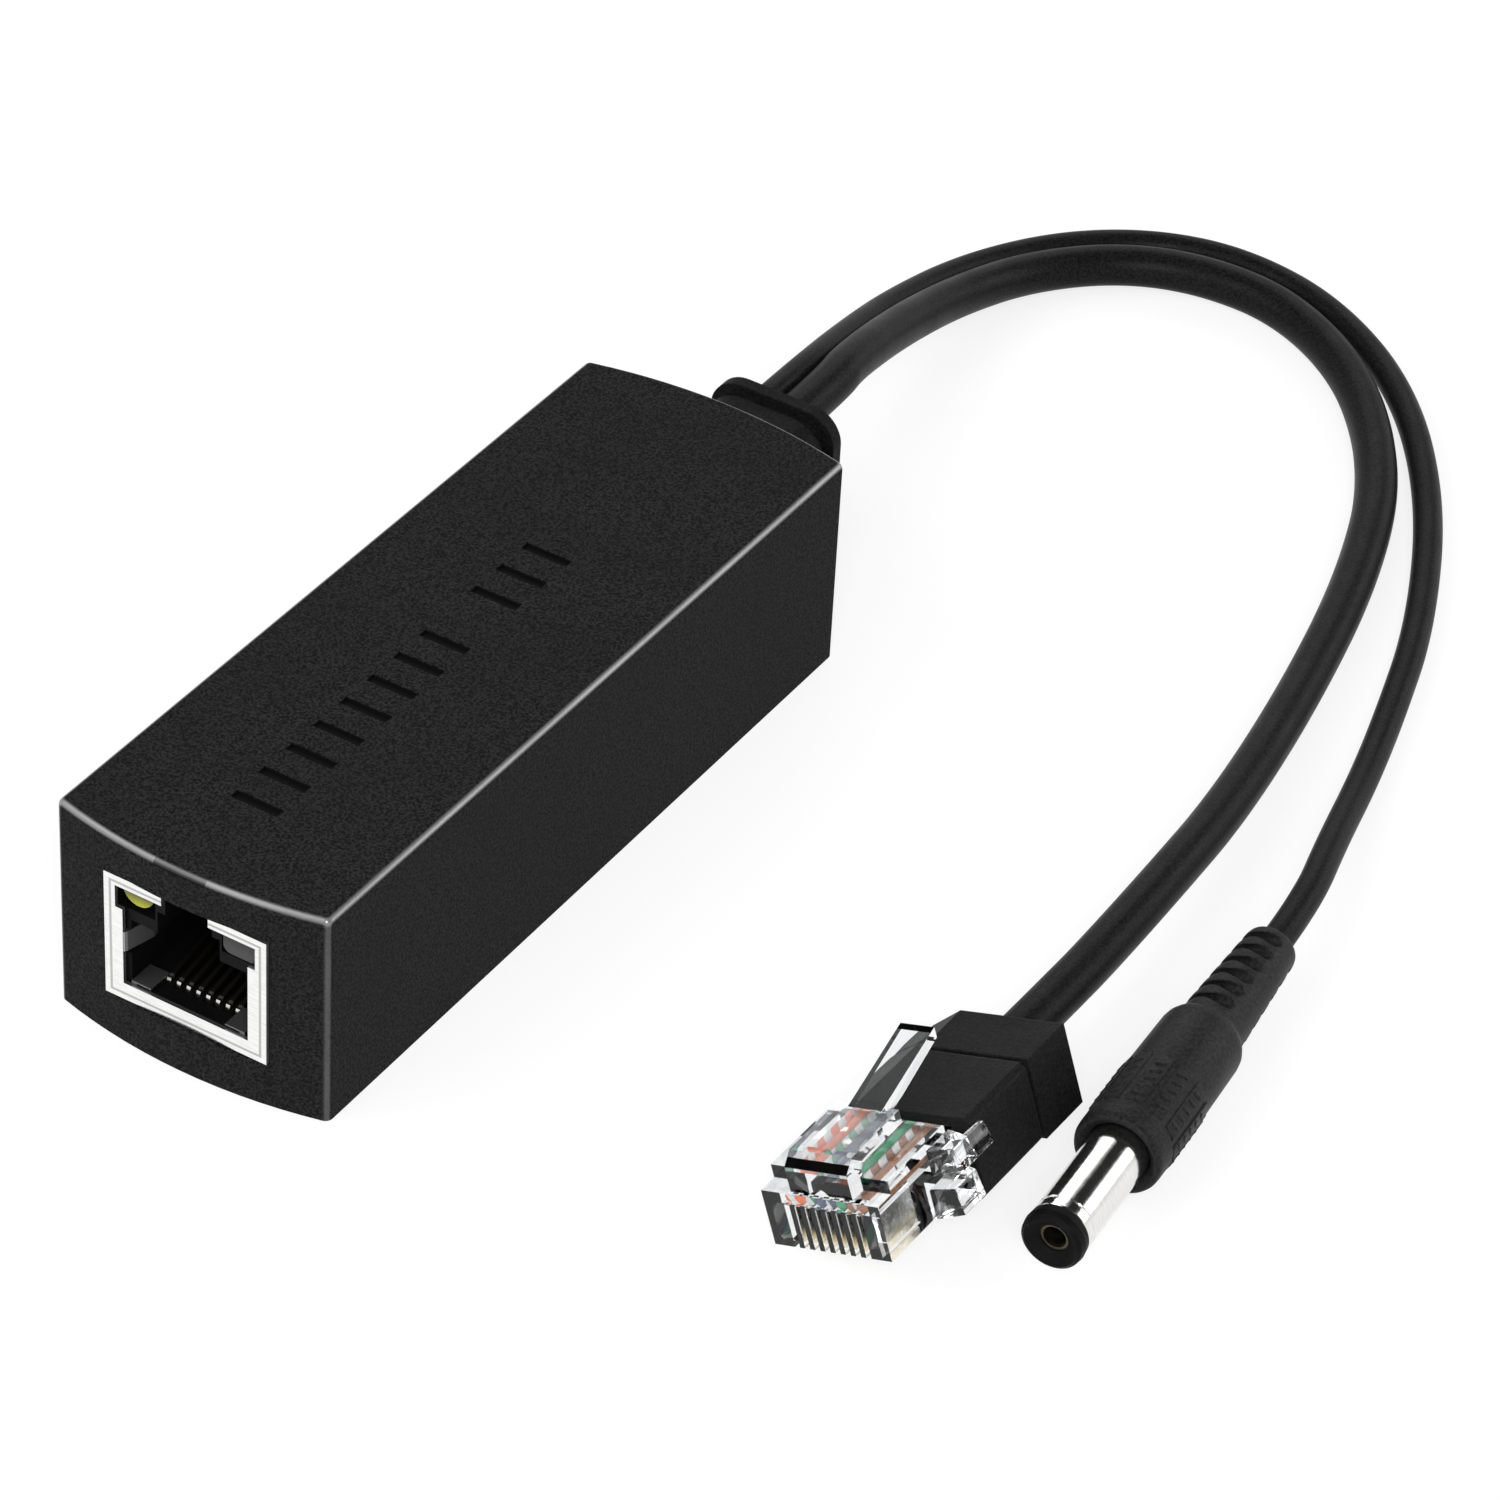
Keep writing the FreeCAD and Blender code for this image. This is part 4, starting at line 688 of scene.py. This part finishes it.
def add_leads(clear):
    """Both leads, and the pieces made for their plugs; clear is the network plug's material."""
    network_pieces = [
        "plug_body", "plug_contacts", "plug_boot", "cable_grommet", add_guards(clear),
    ] + add_cores()
    power_pieces = ["dc_barrel", "dc_tip_insulator", "dc_centre_contact"] + add_grip()
    lead("network_lead", NETWORK_ROUTE, NETWORK_RADIUS, "network_cable")
    lead("power_lead", POWER_ROUTE, POWER_RADIUS, "power_cable")


# Stage

FLOOR_SIZE = 6.0
FLOOR_DROP = -0.0001
HORIZON_GLOW = 0.90
OVERHEAD_GLOW = 0.02
PLAIN_GLOW = 0.30


def add_floor():
    """White to the camera, to metal and to clear plastic; mid grey for the light it bounces."""
    bpy.ops.mesh.primitive_plane_add(size=FLOOR_SIZE, location=(0, 0, FLOOR_DROP))
    floor = bpy.context.object
    floor.name = "floor"
    made = Shader("floor_white", (0.50, 0.50, 0.50), 0.9, specular=0.0)
    path = made.node("LightPath")
    seen = made.node("Math", operation="MAXIMUM")
    made.join(path.outputs["Is Camera Ray"], seen.inputs[0])
    either = made.node("Math", operation="MAXIMUM")
    made.join(path.outputs["Is Glossy Ray"], either.inputs[0])
    made.join(path.outputs["Is Transmission Ray"], either.inputs[1])
    made.join(either.outputs[0], seen.inputs[1])
    glow = made.node("Emission", Strength=0.78)
    pale = made.node("BsdfDiffuse")
    pale.inputs["Color"].default_value = (0.26, 0.26, 0.26, 1.0)
    both = made.node("AddShader")
    made.join(glow.outputs[0], both.inputs[0])
    made.join(pale.outputs[0], both.inputs[1])
    mix = made.node("MixShader")
    made.join(seen.outputs[0], mix.inputs[0])
    made.join(made.shader.outputs[0], mix.inputs[1])
    made.join(both.outputs[0], mix.inputs[2])
    output = made.tree.nodes["Material Output"]
    made.join(mix.outputs[0], output.inputs["Surface"])
    floor.data.materials.append(made.material)


def add_world():
    """Grey for plain light; white behind the object for the camera, metal and clear plastic.

    Reflections see the white only near the horizon, as from a table lit by low cards.
    """
    world = bpy.data.worlds.new("studio")
    bpy.context.scene.world = world
    world.use_nodes = True
    tree = world.node_tree

    def join(start, end):
        tree.links.new(start, end)

    def background(strength):
        made = tree.nodes.new("ShaderNodeBackground")
        made.inputs["Color"].default_value = (1.0, 1.0, 1.0, 1.0)
        made.inputs["Strength"].default_value = strength
        return made

    def mixed(share, first, second):
        made = tree.nodes.new("ShaderNodeMixShader")
        join(share, made.inputs[0])
        join(first.outputs[0], made.inputs[1])
        join(second.outputs[0], made.inputs[2])
        return made

    plain = tree.nodes["Background"]
    plain.inputs["Color"].default_value = (1.0, 1.0, 1.0, 1.0)
    plain.inputs["Strength"].default_value = PLAIN_GLOW
    path = tree.nodes.new("ShaderNodeLightPath")
    direct = tree.nodes.new("ShaderNodeMath")
    direct.operation = "MAXIMUM"
    join(path.outputs["Is Camera Ray"], direct.inputs[0])
    join(path.outputs["Is Transmission Ray"], direct.inputs[1])
    place = tree.nodes.new("ShaderNodeTexCoord")
    parts = tree.nodes.new("ShaderNodeSeparateXYZ")
    join(place.outputs["Generated"], parts.inputs[0])
    height = tree.nodes.new("ShaderNodeMapRange")
    height.interpolation_type = "SMOOTHSTEP"
    for socket, value in zip(("From Min", "From Max", "To Min", "To Max"), (0.25, 0.55, 0.0, 1.0)):
        height.inputs[socket].default_value = value
    join(parts.outputs["Z"], height.inputs["Value"])
    mirrored = mixed(height.outputs["Result"], background(HORIZON_GLOW), background(OVERHEAD_GLOW))
    seen = mixed(path.outputs["Is Glossy Ray"], plain, mirrored)
    whole = mixed(direct.outputs[0], seen, background(1.0))
    join(whole.outputs[0], tree.nodes["World Output"].inputs["Surface"])


def add_lamp(name, place, target, width, height, power):
    data = bpy.data.lights.new(name, "AREA")
    data.shape = "RECTANGLE"
    data.size = width
    data.size_y = height
    data.energy = power
    made = bpy.data.objects.new(name, data)
    bpy.context.scene.collection.objects.link(made)
    made.location = place
    made.rotation_mode = "QUATERNION"
    made.rotation_quaternion = (Vector(target) - Vector(place)).to_track_quat("-Z", "Y")


def add_lights():
    """Four soft lamps round the object."""
    centre = Vector((0.02, 0.03, 0.0))
    lamps = (
        # direction to the lamp, distance, width, height, power
        ("key", (-0.40, -0.61, 0.68), 0.9, 0.75, 0.55, 3.3),
        ("rim", (0.61, 0.68, 0.40), 0.9, 0.80, 0.36, 2.2),
        ("front", (0.42, -0.66, 0.62), 0.95, 0.30, 0.30, 4.6),
        ("back", (-0.40, 0.70, 0.60), 0.9, 0.60, 0.34, 1.5),
    )
    for name, direction, distance, width, height, power in lamps:
        add_lamp(name, centre + Vector(direction).normalized() * distance, centre, width, height, power)


add_camera()
clear = clear_plastic()
add_leads(clear)
dress_all(clear)
add_world()
add_lights()
add_floor()
bpy.context.scene.view_settings.view_transform = "Standard"
